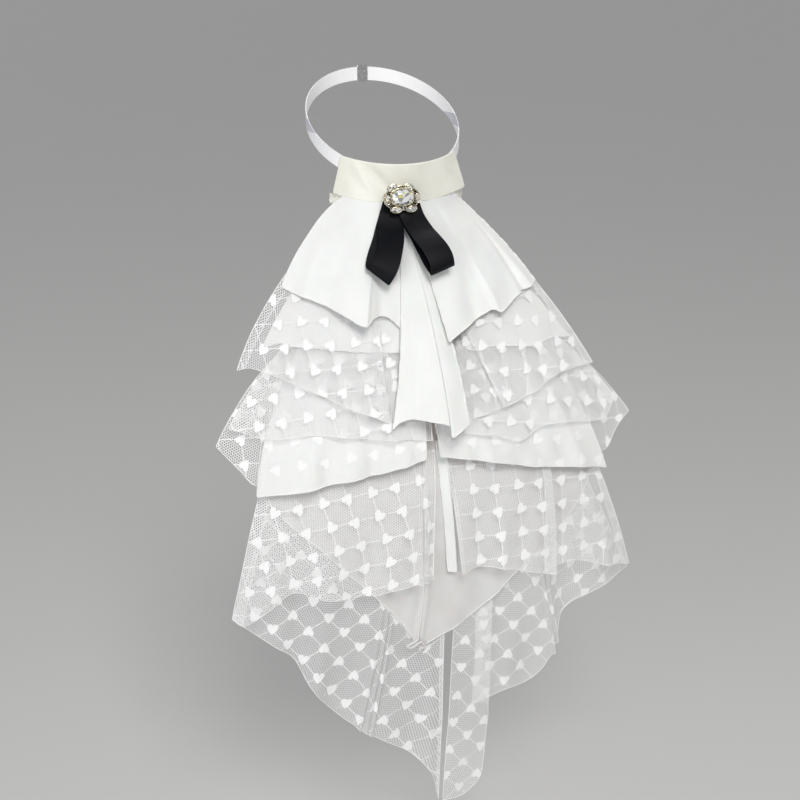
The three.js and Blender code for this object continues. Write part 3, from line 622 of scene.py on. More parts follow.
def grid_of(surface, step):
    """Points of a surface in rows and columns about one step apart, closer where it folds."""
    trial = np.linspace(0, 1, TRIAL[0])
    coarse = surface(*np.meshgrid(trial, np.linspace(0, 1, TRIAL[1])))
    tall = np.linalg.norm(np.diff(coarse, axis=0), axis=2).sum(0).max()
    wide = np.linalg.norm(np.diff(coarse, axis=1), axis=2)
    heading = np.diff(coarse, axis=1) / np.maximum(wide[..., None], 1e-6)
    bend = np.linalg.norm(np.diff(heading, axis=1), axis=2).max(0)
    cost = wide.max(0) / step + np.concatenate([[0], bend]) * BEND_COLUMNS
    keys = np.concatenate([[0], np.cumsum(cost)])
    columns = max(2, round(keys[-1]))
    rows = max(2, round(tall / step))
    across = np.interp(np.linspace(0, keys[-1], columns + 1), keys, trial)
    return surface(*np.meshgrid(across, np.linspace(0, 1, rows + 1)))


def normals_of(points):
    across = np.gradient(points, axis=1)
    down = np.gradient(points, axis=0)
    normal = np.cross(down, across)
    return normal / np.maximum(np.linalg.norm(normal, axis=2, keepdims=True), 1e-9)


def cloth_places(points):
    """Where each point lies on the flat cloth, in millimetres across and down it."""
    along = points[:, :1, 0] + np.zeros(points.shape[:2])
    down = -points[:1, :, 2] + np.zeros(points.shape[:2])
    along[:, 1:] += np.cumsum(np.linalg.norm(np.diff(points[..., :2], axis=1), axis=2), axis=1)
    down[1:] += np.cumsum(np.linalg.norm(np.diff(points[..., 1:], axis=0), axis=2), axis=0)
    return along, down


def turned(along, down, tier):
    """Flat cloth places turned to the way that the net of a tier was cut."""
    angle = tier.get("grain", 0) * DEG
    shift = tier.get("offset", (0, 0))
    return (along * math.cos(angle) + down * math.sin(angle) + shift[0],
            down * math.cos(angle) - along * math.sin(angle) + shift[1])


def make_object(name, vertices, faces, maps=None, sharp=None, smooth=True):
    mesh = bpy.data.meshes.new(name)
    mesh.from_pydata((np.asarray(vertices) * MM).tolist(), [], faces)
    mesh.polygons.foreach_set("use_smooth", np.full(len(mesh.polygons), smooth))
    corners = np.zeros(len(mesh.loops), np.int32)
    mesh.loops.foreach_get("vertex_index", corners)
    for label, places in (maps or {}).items():
        layer = mesh.uv_layers.new(name=label)
        layer.uv.foreach_set("vector", places[corners].astype(np.float32).ravel())
    if sharp is not None:
        ends = np.zeros(len(mesh.edges) * 2, np.int32)
        mesh.edges.foreach_get("vertices", ends)
        rim = sharp[ends.reshape(-1, 2)].all(axis=1)
        mesh.edges.foreach_set("use_edge_sharp", rim)
    return add_object(name, mesh)


def quads(rows, columns, start=0, flip=False):
    j, i = np.meshgrid(np.arange(rows), np.arange(columns), indexing="ij")
    a = (start + j * (columns + 1) + i).ravel()
    faces = np.stack([a, a + columns + 1, a + columns + 2, a + 1], axis=1)
    return (faces[:, ::-1] if flip else faces).tolist()


def sheet_object(name, points, tier):
    """A single sheet of net with its cloth places as a map."""
    rows, columns = points.shape[0] - 1, points.shape[1] - 1
    along, down = turned(*cloth_places(points), tier)
    u, v = np.meshgrid(np.linspace(0, 1, columns + 1), np.linspace(0, 1, rows + 1))
    maps = {"Cloth": np.stack([along, down], -1).reshape(-1, 2),
            "OFBake": np.stack([u, 1 - v], -1).reshape(-1, 2)}
    return make_object(name, points.reshape(-1, 3), quads(rows, columns), maps)


def wall_object(name, points, thickness):
    """A closed wall of cloth of even thickness, with flat-cloth places as a map."""
    rows, columns = points.shape[0] - 1, points.shape[1] - 1
    normal = normals_of(points)
    half = thickness / 2
    vertices = np.concatenate([(points + normal * half).reshape(-1, 3),
                               (points - normal * half).reshape(-1, 3)])
    skin = (rows + 1) * (columns + 1)
    faces = quads(rows, columns) + quads(rows, columns, skin, flip=True)
    top = list(range(columns + 1))
    right = [j * (columns + 1) + columns for j in range(1, rows + 1)]
    bottom = [rows * (columns + 1) + i for i in range(columns - 1, -1, -1)]
    left = [j * (columns + 1) for j in range(rows - 1, 0, -1)]
    loop = top + right + bottom + left
    for a, b in zip(loop, loop[1:] + loop[:1]):
        faces.append([a, b, b + skin, a + skin])
    rim = np.zeros(2 * skin, bool)
    rim[loop] = True
    rim[np.array(loop) + skin] = True
    flat = np.stack(cloth_places(points), -1).reshape(-1, 2)
    return make_object(name, vertices, faces, {"Cloth": np.concatenate([flat, flat])}, rim)


def bridge(near, far, count, flip=False):
    """Faces between two rings of points, from the number of each ring's first point."""
    after = [*range(1, count), 0]
    if flip:
        return [[near + i, far + i, far + j, near + j] for i, j in enumerate(after)]
    return [[near + i, near + j, far + j, far + i] for i, j in enumerate(after)]


def resample(line, step):
    keys = distances(line)
    count = max(2, int(round(keys[-1] / step)))
    at = np.linspace(0, keys[-1], count + 1)
    return np.stack([np.interp(at, keys, line[:, k]) for k in range(3)], axis=1)


def tube(path, radius, step=1.0, sides=6, twist=0.0, lobes=2, pitch=3.0):
    """Points and faces of a round cord along a path."""
    tangent = np.gradient(path, axis=0)
    tangent /= np.linalg.norm(tangent, axis=1, keepdims=True)
    side = np.cross(tangent, [0.0, -1.0, 0.0])
    weak = np.linalg.norm(side, axis=1) < 0.1
    side[weak] = np.cross(tangent[weak], [0.0, 0.0, 1.0])
    side /= np.linalg.norm(side, axis=1, keepdims=True)
    lift = np.cross(side, tangent)
    angle = np.arange(sides) * 2 * math.pi / sides
    phase = np.arange(len(path))[:, None] * step * 2 * math.pi / pitch
    swell = radius * (1 + twist * np.cos(lobes * (angle[None, :] - phase)))
    rings = (path[:, None] + swell[..., None] * (np.cos(angle)[None, :, None] * side[:, None]
                                                 + np.sin(angle)[None, :, None] * lift[:, None]))
    last = (len(path) - 1) * sides
    faces = []
    for first in range(0, last, sides):
        faces += bridge(first, first + sides, sides)
    faces += [list(range(sides))[::-1], list(range(last, last + sides))]
    return rings.reshape(-1, 3), faces


def merged(parts):
    """One set of points and faces from those of many parts."""
    vertices = []
    faces = []
    for part_vertices, part_faces in parts:
        start = sum(len(v) for v in vertices)
        vertices.append(part_vertices)
        faces += [[start + k for k in face] for face in part_faces]
    return np.concatenate(vertices), faces


def cord_object(name, lines, kind):
    """Cords of one kind along lines of points."""
    cord = CORDS[kind]
    paths = (resample(np.asarray(line, float), cord["step"]) for line in lines)
    return make_object(name, *merged(tube(path, **cord) for path in paths))


def place_on(points, along, down, s, t):
    """Points of a gridded cloth, and whether each is on it, for places on the flat cloth."""
    rows, columns = points.shape[0] - 1, points.shape[1] - 1
    u = np.full(s.shape, 0.5)
    v = np.full(s.shape, 0.5)
    for _ in range(SOLVE_ROUNDS):
        j = np.clip((v * rows).astype(int), 0, rows - 1)
        f = (v * rows - j)[:, None]
        line = along[j] * (1 - f) + along[j + 1] * f
        u, over_u = solve_line(line, s)
        i = np.clip((u * columns).astype(int), 0, columns - 1)
        f = (u * columns - i)[:, None]
        line = down.T[i] * (1 - f) + down.T[i + 1] * f
        v, over_v = solve_line(line, t)
    return u, v, ~(over_u | over_v)


def solve_line(line, value):
    """Share of the way along each increasing line where it reaches its value."""
    last = line.shape[1] - 1
    k = np.clip((line <= value[:, None]).sum(1) - 1, 0, last - 1)
    rows = np.arange(len(value))
    low, high = line[rows, k], line[rows, k + 1]
    share = (value - low) / np.maximum(high - low, 1e-9)
    at = (k + share) / last
    over = (at < -1e-6) | (at > 1 + 1e-6)
    return np.clip(at, 0, 1), over


def bilinear(grid, u, v):
    rows, columns = grid.shape[0] - 1, grid.shape[1] - 1
    j = np.clip((v * rows).astype(int), 0, rows - 1)
    i = np.clip((u * columns).astype(int), 0, columns - 1)
    f = (v * rows - j)[:, None]
    g = (u * columns - i)[:, None]
    upper = grid[j, i] * (1 - g) + grid[j, i + 1] * g
    lower = grid[j + 1, i] * (1 - g) + grid[j + 1, i + 1] * g
    return upper * (1 - f) + lower * f


def heart_outline():
    half = np.array(HEART)
    return np.concatenate([[[0.0, HEART_NOTCH]], half, half[::-1] * [-1, 1]])


def hearts_object(name, points, tier):
    """The woven hearts of a tier, thin closed patches that follow its folds."""
    along, down = cloth_places(points)
    normal = normals_of(points)
    flat_s, flat_t = turned(along, down, tier)
    wide, tall = LATTICE["width"] / 2, LATTICE["height"] / 2
    outline = heart_outline()
    count = len(outline)
    angle = tier.get("grain", 0) * DEG
    shift = tier.get("offset", (0, 0))
    vertices = []
    faces = []
    low = (int(flat_s.min() // wide) - 1, int(flat_t.min() // tall) - 1)
    high = (int(flat_s.max() // wide) + 2, int(flat_t.max() // tall) + 2)
    for m in range(low[0], high[0]):
        for n in range(low[1], high[1]):
            if (m + n) % 2:
                continue
            flip = -1 if ((n - m) // 2) % 2 else 1
            place = outline * [1, flip] + [m * wide, n * tall] - shift
            s = place[:, 0] * math.cos(angle) - place[:, 1] * math.sin(angle)
            t = place[:, 0] * math.sin(angle) + place[:, 1] * math.cos(angle)
            u, v, inside = place_on(points, along, down, s, t)
            if inside.mean() < HEART_INSIDE:
                continue
            middle = bilinear(points, u, v)
            lift = bilinear(normal, u, v) * (HEART_THICKNESS / 2)
            start = sum(len(x) for x in vertices)
            vertices += [middle + lift, middle - lift]
            front = [start + k for k in range(count)]
            if flip < 0:
                front = front[::-1]
            back = [k + count for k in front][::-1]
            faces += [front, back]
            for a, b in zip(front, front[1:] + front[:1]):
                faces.append([b, a, a + count, b + count])
    return make_object(name, np.concatenate(vertices), faces, smooth=False)


# Materials


class Shader:
    """A material's node tree with short calls for the nodes that it needs."""

    def __init__(self, name):
        self.material = bpy.data.materials.new(name)
        self.material.use_nodes = True
        self.tree = self.material.node_tree
        self.surface = self.tree.nodes["Principled BSDF"]

    def node(self, kind, **settings):
        made = self.tree.nodes.new(kind)
        for key, value in settings.items():
            setattr(made, key, value)
        return made

    def link(self, source, target):
        if isinstance(source, (int, float, tuple)):
            target.default_value = source
        else:
            self.tree.links.new(source, target)

    def operate(self, kind, operation, values):
        made = self.node(kind, operation=operation)
        for value, socket in zip(values, made.inputs):
            self.link(value, socket)
        return made

    def math(self, operation, *values):
        return self.operate("ShaderNodeMath", operation, values).outputs[0]

    def vector(self, operation, *values, result="Vector"):
        return self.operate("ShaderNodeVectorMath", operation, values).outputs[result]

    def scaled(self, where, factor):
        made = self.operate("ShaderNodeVectorMath", "SCALE", [where])
        made.inputs["Scale"].default_value = factor
        return made.outputs["Vector"]

    def split(self, where):
        """The x and y of a place."""
        made = self.node("ShaderNodeSeparateXYZ")
        self.link(where, made.inputs[0])
        return made.outputs[0], made.outputs[1]

    def cloth(self):
        return self.node("ShaderNodeUVMap", uv_map="Cloth").outputs["UV"]

    def here(self):
        return self.node("ShaderNodeTexCoord").outputs["Object"]

    def noise(self, where, scale, detail=2.0, roughness=0.5):
        made = self.node("ShaderNodeTexNoise")
        self.link(where, made.inputs["Vector"])
        for label, number in (("Scale", scale), ("Detail", detail), ("Roughness", roughness)):
            made.inputs[label].default_value = number
        return made.outputs["Fac"]

    def ramp(self, value, low, high, out_low=0.0, out_high=1.0):
        made = self.node("ShaderNodeMapRange")
        made.interpolation_type = "SMOOTHSTEP"
        for label, number in (("From Min", low), ("From Max", high),
                              ("To Min", out_low), ("To Max", out_high)):
            made.inputs[label].default_value = number
        self.link(value, made.inputs["Value"])
        return made.outputs["Result"]

    def blend(self, share, first, second):
        made = self.node("ShaderNodeMix", data_type="RGBA")
        self.link(share, made.inputs["Factor"])
        for value, socket in ((first, made.inputs[6]), (second, made.inputs[7])):
            if isinstance(value, tuple):
                socket.default_value = (*value, 1)
            else:
                self.link(value, socket)
        return made.outputs[2]

    def bump(self, height, distance_mm, strength):
        made = self.node("ShaderNodeBump")
        made.inputs["Strength"].default_value = strength
        made.inputs["Distance"].default_value = distance_mm * MM
        self.link(height, made.inputs["Height"])
        self.link(made.outputs["Normal"], self.surface.inputs["Normal"])

    def set(self, **values):
        for key, value in values.items():
            socket = self.surface.inputs[key.replace("_", " ")]
            if isinstance(value, tuple) and len(value) == 3 and socket.type == "RGBA":
                value = (*value, 1)
            self.link(value, socket)


def weave_height(shader, pitch_mm):
    """Plain weave: threads over and under at a pitch, as a height from -1 to 1."""
    across, down = shader.split(shader.scaled(shader.cloth(), math.pi / pitch_mm))
    return shader.math("MULTIPLY", shader.math("SINE", across), shader.math("SINE", down))


def chiffon_material(name, tint, shade):
    shader = Shader(name)
    crinkle = shader.noise(shader.here(), scale=900.0, detail=3.0, roughness=0.6)
    clouds = shader.noise(shader.here(), scale=45.0)
    weave = weave_height(shader, pitch_mm=0.45)
    height = shader.math("MULTIPLY_ADD", crinkle, 0.9, shader.math("MULTIPLY", weave, 0.25))
    shader.bump(height, distance_mm=0.12, strength=0.5)
    shader.set(Base_Color=shader.blend(shader.ramp(clouds, 0.35, 0.7), tint, shade),
               Roughness=0.78, Sheen_Weight=0.2, Sheen_Roughness=0.5,
               Subsurface_Weight=0.12, Subsurface_Scale=0.002)
    return shader.material


def net_material():
    """Hexagonal mesh with the slanting threads of the heart lattice, and air between them."""
    shader = Shader("net")
    cloth = shader.cloth()
    cell = shader.scaled(cloth, 1 / MESH["pitch"])
    half = (0.5, math.sqrt(3) / 2, 0.5)
    minus = tuple(-x for x in half)
    shares = []
    for shifted in (cell, shader.vector("ADD", cell, half)):
        place = shader.vector("ABSOLUTE", shader.vector("WRAP", shifted, half, minus))
        across, _ = shader.split(place)
        slant = shader.vector("DOT_PRODUCT", place, (*half[:2], 0.0), result="Value")
        shares.append(shader.math("MAXIMUM", across, slant))
    reach = shader.math("MINIMUM", *shares)
    edge = shader.math("MULTIPLY", shader.math("SUBTRACT", 0.5, reach), MESH["pitch"])
    low, high = (MESH["thread"] / 2 * share for share in MESH["soft"])
    alpha = shader.ramp(edge, low, high, 1.0, 0.0)

    wobble = shader.noise(cloth, scale=LATTICE["wobble_scale"], detail=1.0)
    across, down = shader.split(cloth)
    s = shader.math("MULTIPLY_ADD", wobble, LATTICE["wobble"], across)
    s = shader.math("DIVIDE", s, LATTICE["width"])
    t = shader.math("DIVIDE", down, LATTICE["height"])
    spacing = 1 / math.hypot(1 / LATTICE["width"], 1 / LATTICE["height"])
    low, high = (LATTICE["thread"] / 2 * share for share in LATTICE["soft"])
    for line in (shader.math("ADD", s, t), shader.math("SUBTRACT", s, t)):
        away = shader.math("ABSOLUTE", shader.math("WRAP", line, 0.5, -0.5))
        away = shader.math("MULTIPLY", away, spacing)
        alpha = shader.math("MAXIMUM", alpha, shader.ramp(away, low, high, 1.0, 0.0))
    shader.set(Base_Color=(0.93, 0.93, 0.925), Roughness=0.8, Alpha=alpha, Sheen_Weight=0.15)
    return shader.material


def satin_material(name, tint, shade, roughness):
    shader = Shader(name)
    soft = shader.noise(shader.here(), scale=55.0)
    threads = shader.vector("MULTIPLY", shader.cloth(), SATIN_THREADS)
    fine = shader.noise(threads, scale=1.0, roughness=0.6)
    height = shader.math("MULTIPLY_ADD", soft, 4.0, shader.math("MULTIPLY", fine, 0.35))
    shader.bump(height, distance_mm=0.25, strength=0.5)
    shader.set(Base_Color=shader.blend(shader.ramp(soft, 0.3, 0.7), tint, shade),
               Roughness=shader.ramp(fine, 0.3, 0.7, roughness, roughness + 0.1),
               Sheen_Weight=0.15, Specular_IOR_Level=0.55)
    return shader.material


def strap_material():
    """Ribbed ribbon, lilac-grey in the middle and paler near each side."""
    shader = Shader("strap_satin")
    along, across = shader.split(shader.cloth())
    middle = STRAP["width"] / 2
    away = shader.math("ABSOLUTE", shader.math("SUBTRACT", across, middle))
    edge = shader.ramp(away, *(middle - inset for inset in STRAP_WEAVE["edge"]))
    turns = 2 * math.pi / STRAP_WEAVE["ribs"]
    ribs = shader.math("SINE", shader.math("MULTIPLY", along, turns))
    shader.bump(shader.math("MULTIPLY", ribs, 0.5), distance_mm=0.06, strength=0.5)
    shader.set(Base_Color=shader.blend(edge, (0.60, 0.60, 0.66), (0.93, 0.93, 0.94)),
               Roughness=0.42, Sheen_Weight=0.2)
    return shader.material


def ribbon_material():
    """Black satin with a fine twill that runs across it at a slant."""
    shader = Shader("ribbon_satin")
    along, across = shader.split(shader.cloth())
    slant = shader.math("MULTIPLY_ADD", across, TWILL["slant"], along)
    twill = shader.math("SINE", shader.math("MULTIPLY", slant, 2 * math.pi / TWILL["pitch"]))
    fuzz = shader.noise(shader.here(), scale=1600.0)
    height = shader.math("MULTIPLY_ADD", fuzz, 0.5, shader.math("MULTIPLY", twill, 0.5))
    shader.bump(height, distance_mm=0.09, strength=0.6)
    tint = shader.blend(shader.ramp(twill, -1.0, 1.0),
                        (0.003, 0.0032, 0.0045), (0.006, 0.0064, 0.009))
    shader.set(Base_Color=tint, Roughness=0.4, Sheen_Weight=0.02, Sheen_Roughness=0.4,
               Specular_IOR_Level=0.12, Sheen_Tint=(0.6, 0.65, 0.75))
    return shader.material


def grained_material(name, tints, scale, detail=2.0, roughness=0.5, span=None, bump=None,
                     gloss=None, **values):
    """A surface whose tint, relief and gloss follow one noise, each where it is given."""
    shader = Shader(name)
    grain = shader.noise(shader.here(), scale, detail, roughness)
    if tints:
        share = shader.ramp(grain, *span) if span else grain
        values["Base_Color"] = shader.blend(share, *tints)
    if bump:
        shader.bump(grain, *bump)
    if gloss:
        values["Roughness"] = shader.ramp(grain, 0.3, 0.7, *gloss)
    shader.set(**values)
    return shader.material


def shaded(tint, share):
    """A tint's shade and the tint itself."""
    return tuple(x * share for x in tint), tint


# Dense thread in the hearts and the hems, worn metal, and glass over foil. bump is its distance
# in millimetres and its strength, and gloss the roughness at the ends of the noise.
THREAD = {"roughness": 0.6, "span": (0.35, 0.65), "bump": (0.1, 0.6), "Roughness": 0.75,
          "Sheen_Weight": 0.2}
METAL = {"scale": 700.0, "detail": 4.0, "roughness": 0.65, "span": (0.36, 0.52),
         "bump": (0.15, 0.4), "gloss": (0.42, 0.2), "Metallic": 1.0}
THREAD_SHADE = 0.92
GLASS_SHADE = 0.8
GLASS = {"scale": 900.0, "detail": 1.0, "span": (0.3, 0.7), "Roughness": 0.06, "Coat_Weight": 0.6}
# Crystals painted with light in place of real reflections: a bright painted flash, grey and dark
# painted shade, and a painted yellow glint. Each facet shows one of them: tint, how metallic, and
# the share of the facets that show it.
CRYSTAL_PAINTED_LIGHTS = {"crystal": ((0.93, 0.94, 0.95), 0.25, 0.52),
            "crystal_painted_shade": ((0.45, 0.455, 0.45), 0.5, 0.28),
            "crystal_painted_dark_shade": ((0.13, 0.13, 0.12), 0.6, 0.12),
            "crystal_painted_glint": ((0.78, 0.75, 0.30), 0.25, 0.08)}
# Which crystal, with its painted flash, shade or glint, each facet of the centre stone's table
# shows, from the wearer's left round.
TABLE_PAINTED_LIGHTS = (0, 1, 0, 3, 3, 1, 1, 0, 0, 0)
MATERIALS = {
    "chiffon": chiffon_material("chiffon", (0.86, 0.855, 0.84), (0.83, 0.825, 0.81)),
    "lining": chiffon_material("lining_chiffon", (0.85, 0.845, 0.83), (0.82, 0.815, 0.80)),
    # The base panel is the same white chiffon, painted darker to stand in for the shade it lies in
    # behind the tiers.
    "panel": chiffon_material("panel_chiffon_painted_shade", (0.71, 0.705, 0.695), (0.67, 0.665, 0.65)),
    "net": net_material(),
    "hearts": grained_material("heart_thread", shaded((0.93, 0.93, 0.925), THREAD_SHADE),
                               scale=2000.0, **THREAD),
    "hem": grained_material("hem_thread", shaded((0.90, 0.895, 0.88), THREAD_SHADE),
                            scale=1250.0, **THREAD),
    "satin": satin_material("ivory_satin", (0.86, 0.852, 0.775), (0.80, 0.792, 0.70), 0.3),
    "strap": strap_material(),
    "ribbon": ribbon_material(),
    "metal": grained_material("antique_gold", ((0.30, 0.26, 0.17), (0.86, 0.81, 0.64)), **METAL),
    # The ground plate under the setting is near-black, so the gaps between the stones and bars read
    # dark.
    "recess": grained_material("near_black_gold", ((0.008, 0.007, 0.006), (0.05, 0.045, 0.035)),
                               **METAL),
    "clasp": grained_material("plated_clasp", None, scale=500.0, detail=3.0, roughness=0.6,
                              bump=(0.05, 0.3), gloss=(0.16, 0.34),
                              Base_Color=(0.78, 0.78, 0.79), Metallic=1.0),
}
# Materials of the crystals, with their painted flash, painted shade and painted glint tints.
for crystal, (tint, metallic, _) in CRYSTAL_PAINTED_LIGHTS.items():
    MATERIALS[crystal] = grained_material(crystal, shaded(tint, GLASS_SHADE), Metallic=metallic,
                                          **GLASS)


def dress(piece, material):
    piece.data.materials.clear()
    piece.data.materials.append(MATERIALS[material])
    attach(piece, BODY)
    return piece


# Pieces

# Cloth pieces by name: the mesh, its grid of points and the trim that goes with it.
SHEETS = {}
# The least flat side in millimetres.
LEAST_FLAT = 10.5


def side_lines(points, *sides):
    lines = {"hem": points[-1], "left": points[:, 0], "right": points[:, -1]}
    return [lines[side] for side in sides]


def add_cord(name, lines, kind, material="hem"):
    return dress(cord_object(name, lines, kind), material)


def add_cloth(name, ending, points, thickness, material):
    """A wall of cloth in place of the node of that name. Its trim is added to its row of SHEETS."""
    piece = dress(wall_object(name + ending, points, thickness), material)
    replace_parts(piece, name)
    SHEETS[name] = (piece, points, [])


def make_net(name, tier):
    """A tier of net with its hearts, its fine cut hem, its sides and what is turned back."""
    surface = tier_surface(tier)
    points = grid_of(surface, STEPS["net"])
    piece = dress(sheet_object(name + "_net", points, tier), "net")
    extra = [dress(hearts_object(name + "_hearts", points, tier), "hearts"),
             add_cord(name + "_hem", side_lines(points, "hem"), "net_hem"),
             add_cord(name + "_sides", side_lines(points, "left", "right"), "net_side")]
    for side, at_top, at_hem in tier.get("turned", []):
        label = f"{name}_turned_{side}"
        strip = grid_of(turned_surface(surface, side, at_top, at_hem), STEPS["net"])
        extra.append(dress(sheet_object(label, strip, tier), "net"))
        inner = "right" if side == "left" else "left"
        extra.append(add_cord(label + "_edge", side_lines(strip, inner), "net_hem"))
    SHEETS[name] = (piece, points, extra)
    return piece


def turned_surface(surface, side, at_top, at_hem):
    """The strip of a tier that is folded back behind one side, wider or narrower at the hem."""

    def strip(u, v):
        whole = surface(*np.meshgrid(np.linspace(0, 1, TURNED_TRIAL), v[:, 0]))
        wide = np.linalg.norm(np.diff(whole, axis=1), axis=2).sum(1)[:, None]
        share = mix(at_top, at_hem, v) / wide
        place = u * share if side == "left" else 1 - (1 - u) * share
        points = surface(place, v)
        return points - normals_of(points) * TURNED_GAP

    return strip


def rolled_hem(name, points):
    """The overlocked edge round a piece of chiffon, a little uneven as sewn by machine."""
    lines = []
    step = CORDS["hem"]["step"]
    for line in side_lines(points, "left", "hem", "right"):
        path = resample(line, step)
        steps = np.arange(len(path)) * step
        stray = HEM_STRAY * sum(np.sin(steps / wave + phase) for wave, phase in HEM_WAVES)
        lines.append(path + stray[:, None] * HEM_LEAN)
    return add_cord(name + "_hem", lines, "hem")


def make_chiffon(name, tier):
    points = grid_of(tier_surface(tier), STEPS["chiffon"])
    add_cloth(name, "_cloth", points, CHIFFON, tier.get("finish", "chiffon"))
    SHEETS[name][2].append(rolled_hem(name, points))


def make_tier(name, tier):
    if tier["cloth"] == "net":
        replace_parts(make_net(name, tier), name)
    else:
        make_chiffon(name, tier)
    if "veil" in tier:
        lifted = [[(x, z, out + VEIL_GAP) for x, z, out in tier[edge]] for edge in ("top", "hem")]
        make_net(name + "_veil", {**tier, **tier["veil"], "top": lifted[0], "hem": lifted[1]})


def make_panel():
    points = grid_of(panel_surface, STEPS["chiffon"])
    add_cloth("base_panel", "_cloth", points, CHIFFON, "panel")
    seam = [on_chest(np.array(x), np.array(z), SEAM_RISE) for x, z in PANEL_SEAM]
    path = resample(np.array(seam), CORDS["seam"]["step"])
    thread = stitches(path + [SEAM_STITCHES, 0, 0])
    knot = along_rows([on_chest(np.array(x), np.array(z), out) for x, z, out in PANEL_KNOT])
    curl = np.stack(knot(np.linspace(0, 1, KNOT_POINTS)), axis=1)
    SHEETS["base_panel"][2].extend([
        rolled_hem("base_panel", points),
        add_cord("base_panel_seam", [path], "seam"),
        add_cord("base_panel_stitches", thread, "stitch"),
        add_cord("base_panel_knot", [curl], "knot", "panel")])


def make_neck():
    points = grid_of(band_surface, STEPS["band"])
    add_cloth("neck_band", "_satin", points, BAND["thickness"], "satin")
    loop = np.concatenate([points[0], points[:, -1], points[-1, ::-1], points[::-1, 0]])
    row = round((len(points) - 1) * STITCH["down"])
    outer = points[row] + normals_of(points)[row] * BAND["thickness"] / 2
    SHEETS["neck_band"][2].extend([
        add_cord("neck_band_fold", [loop], "fold", "satin"),
        add_cord("neck_band_stitches", stitches(outer), "stitch")])
    for word, side in (("left", -1), ("right", 1)):
        points = grid_of(strap_surface(side), STEPS["strap"])
        add_cloth(f"neck_strap_{word}", "_satin", points, STRAP["thickness"], "strap")


def make_seam_tabs():
    for tab in SEAM_TABS:
        name = tab[0]
        points = grid_of(seam_tab_surface(tab), STEPS["tab"])
        add_cloth(name, "_satin", points, CHIFFON, "satin")
        threads = []
        for place in resample(points[-1], FRAY["every"]):
            stray = RNG.uniform(-0.5, 0.5, 3) + [0, 0, -FRAY["length"] * RNG.uniform(0.4, 1)]
            threads.append([place, place + stray * [0.4, 0.4, 0.6], place + stray])
        SHEETS[name][2].append(add_cord(name + "_threads", threads, "fray"))


def stitches(line):
    """Short runs of thread along a line, with a gap after each."""
    path = resample(line, CORDS["stitch"]["step"])
    first, run = STITCH["first"], STITCH["run"]
    return [path[i:i + run] for i in range(first, len(path) - run, run + STITCH["skip"])]


def make_ribbons():
    for name, rows in RIBBONS.items():
        points = grid_of(ribbon_surface(rows), STEPS["ribbon"])
        add_cloth(name, "_satin", points, RIBBON, "ribbon")


def on_brooch(points):
    """Points of the brooch's own frame, in the frame of the collar."""
    x, y, depth = np.asarray(points, float).T
    face = chest_front(np.array(BROOCH["x"]), np.array(BROOCH["z"])) + BROOCH["out"]
    return np.stack([BROOCH["x"] + x, -face - depth, BROOCH["z"] + y], axis=1)


def circle(count, start=0.0):
    """Headings all round, from start steps on."""
    angle = (np.arange(count) + start) * 2 * math.pi / count
    return np.stack([np.cos(angle), np.sin(angle)], axis=1)


def stone_outline(stone, grow, count, start=0.0):
    """Points round a stone, which is rounder or squarer as its squareness says."""
    x, y, width, height, turn, _, squareness, _ = stone
    c, s = circle(count, start).T
    across = (width / 2 + grow) * np.sign(c) * np.abs(c) ** (2 / squareness)
    up = (height / 2 + grow) * np.sign(s) * np.abs(s) ** (2 / squareness)
    t = turn * DEG
    return np.stack([x + across * math.cos(t) - up * math.sin(t),
                     y + across * math.sin(t) + up * math.cos(t)], axis=1)


def at_depth(outline, depth):
    return np.column_stack([outline, np.full(len(outline), float(depth))])


def ring_solid(outer, inner, low, high):
    """A closed wall between two outlines with the same number of points."""
    count = len(outer)
    rings = [at_depth(outer, low), at_depth(outer, high),
             at_depth(inner, high), at_depth(inner, low)]
    faces = [face for k in range(4) for face in bridge(k * count, (k + 1) % 4 * count, count)]
    return np.concatenate(rings), faces


def slab(outline, low, high, bevel):
    """A plate with a bevelled upper edge."""
    count = len(outline)
    middle = outline.mean(0)
    inset = outline + (middle - outline) * bevel / np.linalg.norm(outline - middle, axis=1)[:, None]
    rings = [at_depth(outline, low), at_depth(outline, high - bevel), at_depth(inset, high)]
    faces = [list(range(count))[::-1], list(range(2 * count, 3 * count))]
    faces += bridge(0, count, count) + bridge(count, 2 * count, count)
    return np.concatenate(rings), faces


def bead(middle, radius, sides=8, rings=5):
    vertices = [middle + [0, 0, radius]]
    for polar in np.linspace(0, math.pi, rings + 2)[1:-1]:
        reach = math.sin(polar)
        for i in range(sides):
            around = i * 2 * math.pi / sides
            vertices.append(middle + radius * np.array(
                [reach * math.cos(around), reach * math.sin(around), math.cos(polar)]))
    vertices.append(middle - [0, 0, radius])
    foot = len(vertices) - 1 - sides
    faces = [[0, 1 + i, 1 + (i + 1) % sides] for i in range(sides)]
    for first in range(1, foot, sides):
        faces += bridge(first, first + sides, sides, flip=True)
    faces += [[foot + sides, foot + (i + 1) % sides, foot + i] for i in range(sides)]
    return np.array(vertices), faces


